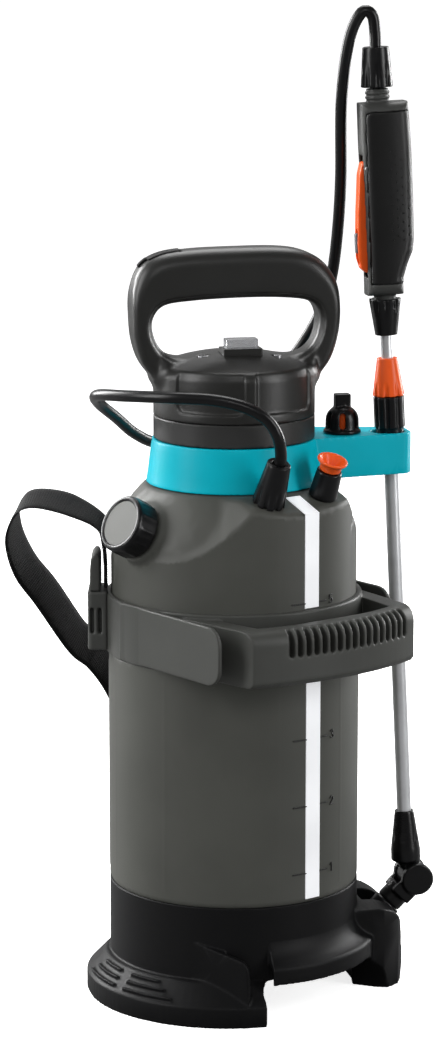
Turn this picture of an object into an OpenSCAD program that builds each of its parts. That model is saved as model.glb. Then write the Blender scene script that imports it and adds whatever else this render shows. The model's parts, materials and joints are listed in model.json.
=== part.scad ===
// Hand-carried pressure sprayer with a battery air pump, a parked spray lance and a shoulder strap.
// Millimetres, +Z up. The origin is on the ground, on the axis of the round tank.
// +X runs along the lance holder arm. The tank's own front is turned by tank_turn from -Y.

/* [Tank] */
// Outer radius of the tank body below the band
tank_r = 86; // [85:0.5:88]
// Outer radius of the tank above the band
tank_upper_r = 84; // [83:0.5:84]
// Wall thickness of the blow-moulded tank
wall = 2.5; // [2:0.25:3]
// Turn of the tank front about Z, away from -Y
tank_turn = 26; // [20:1:30]
// Height where the tank body meets the base foot
base_h = 79.5; // [78:0.5:80]
// Forward tilt of the nose top that carries the outlet and the relief valve
nose_tilt = 22; // [20:1:24]

/* [Band and grip] */
// Underside of the storage band
band_z = 241; // [239:1:243]
// Height of the storage band
band_h = 41; // [38:1:42]
// Distance of the front grip bar's middle from the tank axis
grip_reach = 119; // [116:1:122]
// Number of finger slots in the grip bar
grip_slots = 17; // [9:2:17]

/* [Pump head] */
// Outer radius of the pump head
head_r = 55; // [54:0.5:55.5]
// Half width of the carrying handle
handle_half_w = 71; // [68:1:72]
// Thickness of the carrying handle, front to back
handle_t = 30; // [26:1:32]
// Height of the handle's top
handle_top = 518.7; // [514:0.5:520]

/* [Lance] */
// Distance of the lance from the tank axis, at the top of the holder arm
lance_x = 110; // [108:0.5:111]
// Lean of the lance, lower end outwards
lance_tilt = 2.7; // [2.5:0.1:2.9]
// Outer radius of the outer tube
outer_tube_r = 5; // [5:0.1:5.2]
// Outer radius of the telescoping inner tube
inner_tube_r = 4; // [3.8:0.1:4]
// Length of the outer tube below the arm's top
tube_drop = 272; // [268:1:276]
// Angle of the parked nozzle away from straight down
nozzle_park = 45; // [40:1:46]

/* [Hose and strap] */
// Outer radius of the hose
hose_r = 4; // [3.6:0.1:4]
// Width of the shoulder strap's webbing
strap_w = 26; // [22:1:26]
// Thickness of the webbing
strap_t = 1.8; // [1.4:0.1:2]

/* [Hidden] */
$fn = 96;
// Play between pieces that only rest against each other
gap = 0.05;
// Play between a turning or sliding round piece and its bore
run = 0.05;
// Overlap that makes cuts pass clean through
eps = 1;
shoulder_z = 305;
neck_z = 358;
shoulder_arc_r = 70.5;
nose_half_w = 41;
nose_back = 57;
nose_back_z = 357.5;
fitting_reach = 66.5;
fitting_side = 23.5;
collar_top = 388;
arm_z = 360;
neck_r = 52;
neck_bore_r = 49.5;
seam_z = 404.3;
dome_top = 449.5;
button_at = [2, -12];
spare_at = [76, 0.7];
lance_y = 1;
pivot_at = [130, lance_y, 70];
cap_face = [-97, 0, 339.5];
cap_tilt = 63.5;
buckle_angle = 168;
anchor_angle = 96;
tread_z = 13.5;
// Number of points around a swept hose or spring wire
sweep_sides = 10;

// ---------- frames ----------

module in_tank() {
    rotate([0, 0, tank_turn]) children();
}

function nose_top(reach) = nose_back_z - (reach - nose_back) * tan(nose_tilt);

// Frame on the nose top, z along the fitting's axis; side is -1 for the outlet and 1 for the relief valve
module on_nose(side) {
    in_tank() translate([side * fitting_side, -fitting_reach, nose_top(fitting_reach)])
        rotate([nose_tilt, 0, 0]) children();
}

// Frame at the centre of the filler cap's face, z along the cap's axis, outwards
module in_cap() {
    in_tank() translate(cap_face) rotate([0, -cap_tilt, 0]) children();
}

// Frame on the lance axis, z = 0 at the top of the holder arm
module in_lance() {
    translate([lance_x, lance_y, collar_top]) rotate([0, -lance_tilt, 0]) children();
}

// Frame at the nozzle pivot, z along the nozzle, towards its tip
module in_nozzle() {
    translate(pivot_at) rotate([0, 180 + nozzle_park, 0]) children();
}

// Frame of the charging flap, on the sloping left shoulder of the handle
module in_flap() {
    translate([-50, 0, 515]) rotate([0, -12, 0]) children();
}

// ---------- shared shapes ----------

module ring(r_out, r_in, h) {
    difference() {
        cylinder(r = r_out, h = h);
        translate([0, 0, -eps]) cylinder(r = r_in, h = h + 2 * eps);
    }
}

module box(size) {
    translate([-size[0] / 2, -size[1] / 2, 0]) cube(size);
}

module rounded_rect(size, r) {
    offset(r = r, $fn = 32) square([size[0] - 2 * r, size[1] - 2 * r], center = true);
}

// Conical nut with flat-bottomed finger flutes down its wider end
module fluted_cone(r_bottom, r_top, h, flutes, depth) {
    difference() {
        cylinder(r1 = r_bottom, r2 = r_top, h = h);
        for (i = [0 : flutes - 1])
            rotate([0, 0, (i + 0.5) * 360 / flutes])
                translate([max(r_bottom, r_top) - depth, -1.4, -eps]) cube([depth * 2, 2.8, h + 2 * eps]);
    }
}

function unit(v) = v / norm(v);
function arc(cx, cy, r, a0, a1, n) =
    [for (i = [0 : n]) [cx + r * cos(a0 + (a1 - a0) * i / n), cy + r * sin(a0 + (a1 - a0) * i / n)]];

// Catmull-Rom curve through a list of points
function curve_point(a, b, c, d, t) = 0.5 * (2 * b + (c - a) * t
    + (2 * a - 5 * b + 4 * c - d) * t * t + (3 * b - a - 3 * c + d) * t * t * t);
function curve(p, steps) = let (last = len(p) - 1) concat(
    [for (i = [0 : last - 1], j = [0 : steps - 1])
        curve_point(p[max(i - 1, 0)], p[i], p[i + 1], p[min(i + 2, last)], j / steps)],
    [p[last]]);
function tangents(p) = let (last = len(p) - 1)
    [for (i = [0 : last]) unit(p[min(i + 1, last)] - p[max(i - 1, 0)])];
// Side vectors carried along the curve without twist
function sides(t, first) =
    [for (i = 0, u = unit(first - (first * t[0]) * t[0]); i < len(t);
        i = i + 1, u = i < len(t) ? unit(u - (u * t[i]) * t[i]) : u) u];

// Closed skin over a list of rings that all have the same number of points
module skin(rings) {
    n = len(rings[0]);
    m = len(rings);
    polyhedron(
        points = [for (r = rings) each r],
        faces = concat(
            [[for (i = [0 : n - 1]) i]],
            [for (k = [0 : m - 2], i = [0 : n - 1])
                [k * n + i, (k + 1) * n + i, (k + 1) * n + (i + 1) % n]],
            [for (k = [0 : m - 2], i = [0 : n - 1])
                [k * n + i, (k + 1) * n + (i + 1) % n, k * n + (i + 1) % n]],
            [[for (i = [0 : n - 1]) m * n - 1 - i]]));
}

module round_sweep(path, r, first) {
    t = tangents(path);
    u = sides(t, first);
    skin([for (k = [0 : len(path) - 1]) let (v = cross(t[k], u[k]))
        [for (i = [0 : sweep_sides - 1]) let (a = 360 * i / sweep_sides)
            path[k] + r * cos(a) * u[k] + r * sin(a) * v]]);
}

// Compression spring between z0 and z1
module coil(r, wire_r, z0, z1, turns) {
    n = turns * 12;
    round_sweep([for (i = [0 : n]) let (a = 360 * turns * i / n)
        [r * cos(a), r * sin(a), z0 + wire_r + (z1 - z0 - 2 * wire_r) * i / n]], wire_r, [0, 0, 1]);
}

module rod_between(a, b, r) {
    d = b - a;
    translate(a) rotate([0, acos(d[2] / norm(d)), atan2(d[1], d[0])]) cylinder(r = r, h = norm(d), $fn = 32);
}

// ---------- tank and base ----------

// Half profile of the shoulder, offset inwards by inset
function shoulder(inset) =
    arc(tank_upper_r - shoulder_arc_r, shoulder_z, shoulder_arc_r - inset, 0, 48.5, 14);

module tank_outside() {
    rotate_extrude() polygon(concat(
        [[0, 52], [70, 52]], arc(70, 64.9, 12.9, -90, 0, 6),
        [[82.9, base_h + gap], [tank_r, base_h + gap], [tank_r, band_z], [tank_upper_r, band_z]],
        shoulder(0), [[neck_r, neck_z], [0, neck_z]]));
    nose_block(0);
}

module tank_inside() {
    rotate_extrude() polygon(concat(
        [[0, 54.5], [69, 54.5]], arc(69, 65.9, 11.4, -90, 0, 6),
        [[80.4, base_h + 2], [tank_r - wall, base_h + 4], [tank_r - wall, band_z - 4],
            [tank_upper_r - wall, band_z - 2]],
        shoulder(wall), [[neck_bore_r, neck_z - wall], [neck_bore_r, neck_z + 27], [0, neck_z + 27]]));
    nose_block(wall);
}

// Wedge that carries the fittings: a sloping top that fans down to the round body
module nose_block(inset) {
    top = nose_half_w - inset;
    r = tank_upper_r - inset;
    intersection() {
        hull() {
            translate([-top, -r - 4, nose_top(r + 4) - inset]) cube([2 * top, 0.01, 0.01]);
            translate([-top - 8, -nose_back + 28, nose_back_z - 2 - inset]) cube([2 * top + 16, 0.01, 0.01]);
            translate([-top, -nose_back, nose_back_z - inset]) cube([2 * top, 0.01, 0.01]);
            translate([0, 0, shoulder_z + 4]) cylinder(r = r + 3, h = 0.01, $fn = 72);
            translate([0, 0, shoulder_z - 10]) cylinder(r = r - 6, h = 0.01, $fn = 72);
        }
        translate([0, 0, shoulder_z - 30]) cylinder(r = r, h = 100);
    }
}

module tank_shell() {
    color("dimgray") {
        difference() {
            union() {
                in_tank() tank_outside();
                translate([0, 0, neck_z - 1]) cylinder(r = neck_r, h = 27);
                difference() {
                    in_cap() translate([0, 0, -50]) cylinder(r = 21, h = 31.5);
                    in_tank() tank_inside();
                }
                difference() {
                    in_cap() translate([0, 0, -50]) cylinder(r = 13.9, h = 46);
                    in_tank() tank_inside();
                }
                on_nose(-1) translate([0, 0, -1]) cylinder(r = 7.5, h = 19);
            }
            in_tank() tank_inside();
            in_cap() translate([0, 0, -60]) cylinder(r = 11.5, h = 60);
            on_nose(-1) translate([0, 0, -10]) cylinder(r = 4.3, h = 30);
            on_nose(1) translate([0, 0, -10]) cylinder(r = 6, h = 20);
        }
        // Raised litre marks either side of the strip
        for (z = [100, 146.8, 193.2])
            level_mark(tank_r, z);
        level_mark(tank_upper_r, 286.3);
    }
}

module level_mark(r, z) {
    in_tank() for (side = [-1, 1])
        rotate([0, 0, -90 + side * 4.3]) translate([0, 0, z])
            rotate_extrude(angle = 6, start = side < 0 ? -6 : 0) translate([r - 0.3, 0]) square([0.8, 0.9]);
}

module level_strip() {
    half = 6 / tank_r * 180 / PI;
    color("whitesmoke") in_tank() {
        strip_wall(tank_r, 82, band_z - 0.6 - 82, half);
        strip_wall(tank_upper_r, band_z + band_h + 1, nose_top(tank_upper_r) - band_z - band_h - 0.6, half);
        translate([6, 0, 0]) rotate([90, 0, -90]) linear_extrude(12) polygon([
            [tank_upper_r + 0.6, nose_top(tank_upper_r) + 0.1],
            [tank_upper_r + 0.6, nose_top(tank_upper_r) + 0.5],
            [63.6, nose_top(63.6) + 0.7], [63.6, nose_top(63.6) + gap]]);
    }
}

module strip_wall(r, z, h, half) {
    translate([0, 0, z]) rotate_extrude(angle = 2 * half, start = -90 - half)
        translate([r + gap, 0]) square([0.6, h]);
}

// Ring sector with rounded upper corners, c0 at its start and c1 at its end, cut through the base rim
module foot_arch(a0, a1, c0 = 15, c1 = 15) {
    t0 = c0 / 98 * 180 / PI;
    t1 = c1 / 98 * 180 / PI;
    rotate_extrude(angle = t0 + 2, start = a0) translate([81, -eps]) square([47, 28 - c0 + eps]);
    rotate_extrude(angle = t1 + 2, start = a1 - t1 - 2) translate([81, -eps]) square([47, 28 - c1 + eps]);
    rotate_extrude(angle = a1 - a0 - t0 - t1, start = a0 + t0) translate([81, -eps]) square([47, 28 + eps]);
    for (corner = [[a0 + t0, c0], [a1 - t1, c1]])
        rotate([0, 0, corner[0]]) translate([79, 0, 27.4 - corner[1]]) rotate([0, 90, 0])
            cylinder(r = corner[1] + 0.4, h = 50);
}

module nozzle_rest() {
    intersection() {
        linear_extrude(60) polygon([[78, -39], [99, -38], [112, -27], [119, -10],
            [119, 10], [112, 27], [99, 38], [78, 39]]);
        translate([0, 45, 0]) rotate([90, 0, 0]) linear_extrude(90) polygon(concat(
            [[78, 0], [78, 58.5]], arc(93, 34, 24.5, 90, 20, 10), [[119, 22], [119, 9], [116, 0]]));
    }
}

// Sloping tread on the left, wider than the drum, with raised grip ribs
module tread() {
    difference() {
        translate([-5, 0, 0]) {
            rotate_extrude(angle = 138, start = 111) polygon([[76, 22], [84, 22], [95.5, 10.5], [95.5, 0],
                [98.5, 0], [98.5, tread_z], [84.5, 28], [76, 28]]);
            for (row = [0 : 2], side = [0, 1])
                rotate_extrude(angle = 25 - row * 4, start = side == 0 ? 153 + row * 3 : 183)
                    translate([95.6 - row * 4.1, tread_z + 2.4 + row * 4.1]) rotate([0, 0, 45]) square([2.6, 1.2]);
        }
        translate([0, 0, -eps]) cylinder(r = 84, h = 60);
    }
}

// Plate that leaves the drum at the front left and ends in a rounded corner, to wind cable or hose behind
module foot_hook() {
    translate([-77, -38, 0]) rotate([0, 0, -62.9]) translate([0, 4, 0]) rotate([90, 0, 0]) linear_extrude(4)
        polygon(concat([[-8, 10], [-8, 58], [2, 57]], arc(42, 37, 9.5, 75, 0, 6), [[52, 16], [46, 10]]));
}

module base_foot() {
    color([0.09, 0.09, 0.1]) difference() {
        union() {
            in_tank() {
                // Drum that holds the tank
                rotate_extrude() polygon([[80, 12], [86, 12], [86, base_h], [80, base_h]]);
                // Flared skirt with an open underside
                rotate_extrude(angle = 224, start = -112) polygon(concat(
                    [[84, 58], [86, 58]], arc(106, 58, 20, 180, 246, 8), [[98.5, 38], [98.5, 0], [95.5, 0],
                    [95.5, 36], [86, 40], [84, 40]]));
                tread();
                difference() {
                    foot_hook();
                    translate([0, 0, -eps]) cylinder(r = 84, h = 70);
                }
            }
            nozzle_rest();
            strap_anchor();
            // Shelf under the tank
            translate([0, 0, 44]) ring(84, 55, 12);
        }
        // Inside of the drum, above and below the shelf
        rotate_extrude() polygon([[0, -eps], [83, -eps], [83, 47], [60, 47], [60, 51.9], [83, 51.9],
            [83, base_h + eps], [0, base_h + eps]]);
        translate([0, 0, -eps]) linear_extrude(18) polygon([[84, -20], [104, -20], [111, -16],
            [115, -9], [115, 9], [109, 25], [97, 34], [84, 34]]);
        translate([89, lance_y - 13.5, 22]) cube([60, 27, 60]);
        in_tank() {
            foot_arch(-115, -44.5, 8, 25);
            foot_arch(4, 48);
            foot_arch(72, 111);
        }
    }
}

// Eye at the back of the base for the strap's lower end
module strap_anchor() {
    rotate([0, 0, anchor_angle]) {
        for (side = [-1, 1])
            translate([84, side * 17.5 - 2, 52]) cube([14, 4, 12]);
        translate([94, 17, 58]) rotate([90, 0, 0]) cylinder(r = 3, h = 34, $fn = 32);
    }
}

// ---------- collar and arm ----------

module holder_collar() {
    color([0, 0.67, 0.75]) difference() {
        union() {
            rotate_extrude() polygon([[50, neck_z + gap], [60, neck_z + gap], [58.9, 365], [57.8, 374],
                [56.6, 383], [55.8, collar_top], [50, collar_top]]);
            difference() {
                translate([0, 0, arm_z]) linear_extrude(collar_top - arm_z) arm_plan();
                translate([0, 0, arm_z - 1]) cylinder(r = 56, h = 40);
            }
        }
        translate([0, 0, neck_z - 1]) cylinder(r = neck_r + gap, h = 40);
        translate([spare_at[0], spare_at[1], collar_top - 20]) cylinder(r = 8.05, h = 30);
        in_lance() {
            translate([0, 0, -12]) cylinder(r = 10.3, h = 20);
            translate([-3.5, 0, -12]) cylinder(r = 10.3, h = 20);
            translate([0, 0, -60]) cylinder(r = 5.6, h = 70);
            // Slot that lets the tube leave sideways once the plug is lifted out
            translate([-5.6, 0, -60]) cube([11.2, 60, 70]);
        }
    }
}

// The arm narrows from the collar to its rounded tip
module arm_plan() {
    offset(r = 6, $fn = 48) offset(delta = -6)
        polygon([[40, -27], [51, -22.5], [119, -11.5], [123.5, -5], [123.5, 14],
            [119, 18.5], [72, 26.8], [48, 36]]);
}

// ---------- storage band, hooks and grip ----------

module storage_band() {
    color([0.33, 0.34, 0.33]) in_tank() difference() {
        union() {
            translate([0, 0, band_z + gap]) rotate_extrude() polygon([[80, 0], [87.6, 0], [88, 0.6],
                [88, band_h - 1], [87.4, band_h - gap], [80, band_h - gap]]);
            front_grip();
            hook_flap(-1, 96);
            hook_flap(1, 64);
        }
        translate([0, 0, band_z - 2]) cylinder(r = tank_upper_r + gap, h = band_h + 4);
        translate([0, 0, band_z - 5]) cylinder(r = tank_r + gap, h = 5 + gap);
    }
}

// Straight plate that leaves the band tangentially and ends in a rounded tip
module hook_flap(side, reach) {
    h = band_h - 1.5;
    translate([side > 0 ? 85 : -88, 0, band_z + 1]) rotate([90, 0, 90]) linear_extrude(3) {
        translate([-reach + 14, 0]) square([reach, h]);
        translate([-reach + 30, h / 2]) rounded_rect([60, h], 13);
    }
}

module front_grip() {
    bow = 220;
    bow_y = bow - grip_reach;
    z0 = band_z - 0.4;
    h = 38;
    difference() {
        intersection() {
            translate([0, 0, z0]) linear_extrude(h)
                polygon([[-79, -30], [-66.5, -125], [69, -125], [79, -30]]);
            translate([0, bow_y, z0]) rotate_extrude(angle = 90, start = 225) polygon(concat(
                [[90, 0], [bow - 3, 0], [bow, 3]], arc(bow - 10, h - 10, 10, 0, 90, 8), [[90, h]]));
        }
        // Opening between the bar and the tank
        translate([0, 0, z0 - eps]) linear_extrude(h + 2 * eps) intersection() {
            offset(r = 7, $fn = 32) offset(delta = -7) polygon([[-68, -20], [-56, -103], [56, -103], [68, -20]]);
            translate([0, bow_y]) circle(r = bow - 14);
        }
        // Finger slots over the bar's upper front edge
        for (i = [0 : grip_slots - 1]) let (a = (i - (grip_slots - 1) / 2) * 1.66 + 2.4)
            translate([0, bow_y, z0]) rotate([0, 0, a]) translate([0, -bow - 1, h - 9])
                finger_slot();
        // Shallow line round the moulded-in tab at the left end
        translate([-66.5, -110, z0 + h - 19]) rotate([0, 0, -10]) rotate([90, 0, 0])
            translate([8, 0, 4]) difference() {
                cylinder(r = 17, h = 12);
                translate([0, 0, -eps]) cylinder(r = 16.3, h = 14);
                translate([-30, -30, -eps]) cube([30, 60, 14]);
            }
    }
}

module finger_slot() {
    translate([-1.9, 0, -8]) cube([3.8, 8, 30]);
    translate([0, 8, -8]) rotate([90, 0, 0]) cylinder(r = 1.9, h = 8, $fn = 24);
}

// ---------- fittings on the nose ----------

module outlet_nut() {
    color([0.08, 0.08, 0.09]) on_nose(-1) difference() {
        translate([0, 0, 0.45]) fluted_cone(11.3, 8, 30.6, 9, 1.6);
        translate([0, 0, -eps]) cylinder(r = 7.6, h = 21);
        cylinder(r = hose_r + 0.6, h = 40);
    }
}

module outlet_seal() {
    color("black") on_nose(-1) translate([0, 0, 18 + gap]) ring(7.3, 4.4, 1.8);
}

module riser_tube() {
    top = [-fitting_side, -fitting_reach + 3, nose_top(fitting_reach) - 6.5];
    foot = [-15, -30, 58];
    color("gainsboro") difference() {
        union() {
            in_tank() rod_between(top, foot, 3.5);
            on_nose(-1) translate([0, 0, -11]) cylinder(r = 6, h = 8.4);
        }
        in_tank() rod_between(top, foot + [0, 0, -3], 2.2);
        on_nose(-1) translate([0, 0, -9]) cylinder(r = 4.3, h = 10);
    }
}

module riser_filter() {
    color("darkslategray") in_tank() translate([-15.3, -31.3, 55]) difference() {
        cylinder(r = 7, h = 14);
        translate([0, 0, 2]) cylinder(r = 5.5, h = 20);
        for (a = [0 : 45 : 135]) rotate([0, 0, a]) translate([-10, -1, 4]) cube([20, 2, 7]);
    }
}

module relief_body() {
    color([0.07, 0.07, 0.08]) on_nose(1) difference() {
        union() {
            translate([0, 0, gap]) cylinder(r1 = 9.8, r2 = 8.6, h = 20);
            translate([0, 0, -8]) cylinder(r = 5.95, h = 9);
        }
        translate([0, 0, -9]) cylinder(r = 2, h = 30);
        translate([0, 0, -6]) cylinder(r = 4.9, h = 22);
        cylinder(r = 3 + run, h = 40);
    }
}

module relief_seal() {
    color("black") on_nose(1) translate([0, 0, -6 + gap]) cylinder(r = 4.5, h = 1.8);
}

module relief_knob() {
    color([0.98, 0.35, 0.1]) on_nose(1) difference() {
        union() {
            translate([0, 0, -4.1]) cylinder(r = 4.5, h = 2);
            translate([0, 0, -4]) cylinder(r = 3, h = 28);
            rotate_extrude() polygon([[0, 20.4], [7.2, 20.4], [7.4, 23], [8.4, 25.4], [10, 26.8],
                [10.6, 27.6], [10.4, 28.4], [9.6, 28.6], [0, 28.6]]);
        }
        translate([0, 0, 21.7]) cylinder(r1 = 2.6, r2 = 8.9, h = 7);
    }
}

module relief_spring() {
    color("silver") on_nose(1) coil(4, 0.55, -1.95, 15.9, 7);
}

// ---------- filler cap ----------

module filler_cap() {
    color([0.07, 0.07, 0.08]) in_cap() difference() {
        union() {
            translate([0, 0, -17]) cylinder(r = 19.6, h = 15);
            rotate_extrude() polygon(concat([[0, -3], [19.6, -3]], arc(18, -1.6, 1.6, 0, 90, 5), [[0, 0]]));
            for (a = [0 : 30 : 330]) rotate([0, 0, a]) translate([19.2, -0.8, -16.5]) cube([1, 1.6, 12]);
        }
        translate([0, 0, -18]) cylinder(r = 14, h = 14.6);
        translate([0, 0, -1.3]) cylinder(r = 15.8, h = 3);
    }
}

module filler_cap_disc() {
    color([0.36, 0.37, 0.36]) in_cap() translate([0, 0, -1.3 + gap]) cylinder(r = 15.7, h = 0.6);
}

module filler_seal() {
    color("black") in_cap() translate([0, 0, -3.95]) ring(13.8, 11.7, 0.5);
}

// ---------- strap ----------

// Each row: a point on the webbing's centre line, then the direction across its width
strap_rows = [
    [[-86.2, 18.3, 285], [-0.21, -0.98, 0]],
    [[-86.4, 18.4, 300], [-0.21, -0.98, 0]],
    [[-87.6, 18.7, 315], [-0.23, -0.97, -0.05]],
    [[-89.9, 20.6, 328.4], [-0.49, -0.87, -0.09]],
    [[-108.6, 26, 339.3], [-0.39, -0.84, -0.36]],
    [[-125.4, 33, 343.2], [-0.27, -0.89, -0.36]],
    [[-136.8, 38, 342], [-0.18, -0.95, -0.25]],
    [[-142.8, 42, 334.9], [-0.18, -0.98, 0.08]],
    [[-145, 45, 325.6], [-0.45, -0.89, -0.01]],
    [[-143.7, 48, 312.1], [-0.64, -0.76, -0.1]],
    [[-135.6, 52, 292.6], [-0.71, -0.61, -0.35]],
    [[-120.8, 57, 272.5], [-0.73, -0.55, -0.41]],
    [[-98.2, 66, 238.6], [-0.73, -0.57, -0.38]],
    [[-82.9, 77, 224.3], [-0.67, -0.52, -0.53]],
    [[-65.1, 90, 205.8], [-0.74, -0.45, -0.5]],
    [[-40, 98, 140], [-0.95, -0.3, -0.15]],
    [[-20, 98, 105], [-0.98, -0.18, -0.05]],
    [[-11, 96, 80], [-0.99, -0.1, 0]],
    [[-10, 94.6, 62.6], [-0.99, -0.1, 0]]];

module strap() {
    mid = curve([for (r = strap_rows) r[0]], 4);
    across = curve([for (r = strap_rows) r[1]], 4);
    t = tangents(mid);
    color([0.05, 0.05, 0.06]) skin([for (k = [0 : len(mid) - 1])
        let (a = unit(across[k] - (across[k] * t[k]) * t[k]), n = cross(t[k], a))
        [mid[k] - a * strap_w / 2 - n * strap_t / 2, mid[k] + a * strap_w / 2 - n * strap_t / 2,
            mid[k] + a * strap_w / 2 + n * strap_t / 2, mid[k] - a * strap_w / 2 + n * strap_t / 2]]);
}

module strap_buckle() {
    color([0.32, 0.33, 0.32]) rotate([0, 0, buckle_angle]) {
        difference() {
            translate([91.5, 0, band_z + 1.6]) linear_extrude(40.4) rounded_rect([17, 34], 3);
            translate([0, 0, band_z - eps]) cylinder(r = 88 + gap, h = 60);
            translate([92.8, -11, band_z + 20]) cube([4, 22, 40]);
            // Window in each end, with a round bar across it
            for (side = [-1, 1])
                translate([90.4, side * 15.5 - 3, band_z + 13]) cube([7.6, 6, 18]);
        }
        for (side = [-1, 1])
            translate([94.1, side * 15, band_z + 12.5]) cylinder(r = 1.7, h = 19, $fn = 32);
    }
}

module strap_tongue() {
    color([0.3, 0.31, 0.3]) rotate([0, 0, buckle_angle]) {
        translate([92.9, -10.9, band_z + 21]) cube([3.8, 21.8, 22]);
        difference() {
            translate([0, 15.5, 0]) rotate([90, 0, 0]) linear_extrude(31) polygon([[91.2, 283.1], [98.6, 283.1],
                [98.4, 301], [97.4, 306.5], [95, 309.6], [92.8, 309.2], [91.2, 306]]);
            translate([90, -13.2, 295]) cube([20, 26.4, 8]);
        }
    }
}

// ---------- pump head ----------

// Half profile of the head cover's outside, offset inwards by inset
function dome_line(inset) = concat(
    [[head_r - inset, seam_z + 0.1], [head_r - inset, 436]],
    arc(head_r - 5, 436, 5 - inset, 0, 75, 5),
    [for (i = [1 : 8]) let (f = 1 - i / 8) [(head_r - 6.7 - inset) * f, dome_top - inset - 8.8 * f * f]]);

module neck_seal() {
    color("black") translate([0, 0, 373.3]) rotate_extrude() translate([48.27, 0]) circle(r = 1.15, $fn = 24);
}

module head_plug() {
    color([0.2, 0.2, 0.21]) difference() {
        rotate_extrude() polygon([[0, 362], [49.42, 362], [49.42, 372], [47.05, 372], [47.05, 374.6],
            [49.42, 374.6], [49.42, 386], [47.6, 386], [47.6, 388.5], [head_r, 388.5],
            [head_r, seam_z], [52.4, seam_z], [52.4, 391], [45, 391], [45, 365], [0, 365]]);
        translate([16, 0, 350]) cylinder(r = 4.05, h = 30);
    }
}

// Shallow pressed-in field on the side of the cover
module side_panel(a0, a1) {
    translate([0, 0, 409.5]) rotate_extrude(angle = a1 - a0, start = a0)
        polygon([[head_r - 1.2, 0], [head_r + 1, -2], [head_r + 1, 24.5], [head_r - 1.2, 22.5]]);
}

module head_housing() {
    color([0.17, 0.17, 0.18]) difference() {
        union() {
            difference() {
                rotate_extrude() polygon(concat(dome_line(0), [[0, seam_z + 0.1]]));
                rotate_extrude() polygon(concat(dome_line(wall), [[0, seam_z - 1]]));
                translate([0, 0, seam_z - 1]) cylinder(r = head_r - wall, h = 3);
            }
            for (p = screw_places)
                translate([p[0], p[1], 431]) cylinder(r = 5, h = 14);
            // Latch button at the side seam
            rotate([0, 0, 2]) translate([head_r - 1, -2, 407]) cube([2.2, 4, 5]);
        }
        for (a = [-147, -86, 34, 95])
            side_panel(a, a + 53);
        for (p = screw_places) {
            translate([p[0], p[1], 443.5]) cylinder(r = 3.6, h = 10);
            translate([p[0], p[1], 425]) cylinder(r = 1.5, h = 30, $fn = 24);
        }
        translate([button_at[0], button_at[1], 435]) box([27.1, 17.1, 30]);
    }
}

screw_places = [[-24, -10], [27, -15]];

module cover_screws() {
    color("silver") for (p = screw_places) translate([p[0], p[1], 0]) difference() {
        union() {
            translate([0, 0, 443.5 + gap]) cylinder(r = 2.7, h = 1.7, $fn = 32);
            translate([0, 0, 432]) cylinder(r = 1.45, h = 12, $fn = 24);
        }
        for (a = [0, 90]) rotate([0, 0, a]) translate([-1.6, -0.35, 444.3]) cube([3.2, 0.7, 3]);
    }
}

module handle_outline() {
    w = handle_half_w;
    difference() {
        offset(r = 20, $fn = 96) offset(delta = -20) polygon([[-50, 425], [-66, 442], [-w, 466],
            [-w - 0.5, 488], [-66, 514], [-40, 518], [0, handle_top + 0.4], [28, handle_top + 0.4], [50, 516],
            [68, 506], [w + 0.5, 486], [w - 1, 461], [66, 444], [50, 425]]);
        offset(r = 12, $fn = 64) offset(delta = -12) polygon([[-52, 434], [-58.5, 462], [-57, 482],
            [-40, 484.6], [40, 485.6], [57.5, 483], [57, 470], [52, 434]]);
    }
}

module handle_body() {
    top_z = handle_top + 0.2;
    difference() {
        intersection() {
            translate([0, handle_t / 2, 0]) rotate([90, 0, 0]) linear_extrude(handle_t) handle_outline();
            translate([-100, 0, 0]) rotate([90, 0, 90]) linear_extrude(200)
                translate([0, 430]) polygon(concat([[-15, -20], [15, -20], [15, top_z - 442]],
                    arc(3, top_z - 442, 12, 0, 90, 8), arc(-3, top_z - 442, 12, 90, 180, 8)));
        }
        rotate_extrude() polygon(concat(dome_line(-gap), [[0, 400], [head_r, 400]]));
        translate([-33.5, 0, 502.3]) rotate([0, 90, 0]) cylinder(r = 9.2, h = 67);
        in_flap() {
            translate([-13, -6.6, -2]) cube([26.1, 13.2, 8]);
            translate([-19, -2.6, -2]) cube([8, 5.2, 8]);
            translate([-4.6, -1.8, -9.2]) cube([9.2, 3.6, 8]);
        }
    }
}

module handle_front() {
    color([0.1, 0.1, 0.1]) intersection() {
        handle_body();
        translate([-100, -50, 400]) cube([200, 50 - gap / 2, 200]);
    }
}

module handle_back() {
    color([0.1, 0.1, 0.1]) intersection() {
        handle_body();
        translate([-100, gap / 2, 400]) cube([200, 50, 200]);
    }
}

module power_button() {
    color([0.85, 0.88, 0.9, 0.5]) translate([button_at[0], button_at[1], 0]) difference() {
        union() {
            translate([0, 0, 441.5]) linear_extrude(2.3) rounded_rect([25, 15], 1.5);
            translate([0, 0, 441.5]) linear_extrude(15.5) rounded_rect([22, 12], 1.5);
        }
        translate([0, 0, 440]) box([19, 9, 10]);
    }
}

module button_bezel() {
    color([0.12, 0.12, 0.13]) translate([button_at[0], button_at[1], 444.6]) difference() {
        linear_extrude(6.2) rounded_rect([27, 17], 1);
        translate([0, 0, -eps]) linear_extrude(10) rounded_rect([22.3, 12.3], 1.5);
    }
}

module button_spring() {
    color("silver") translate([button_at[0], button_at[1], 0]) coil(3.6, 0.4, 435.7, 449.9, 5);
}

module status_light() {
    color([0.4, 0.9, 0.4]) translate([button_at[0], button_at[1], 435.65]) {
        cylinder(r = 2, h = 3, $fn = 32);
        translate([0, 0, 3]) sphere(r = 2, $fn = 32);
    }
}

module circuit_board() {
    color([0.05, 0.35, 0.15]) {
        translate([2, -11, 434]) box([36, 28, 1.6]);
        for (x = [-10, 12]) translate([x, -10, 431.8]) box([9, 9, 2.3]);
    }
}

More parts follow.
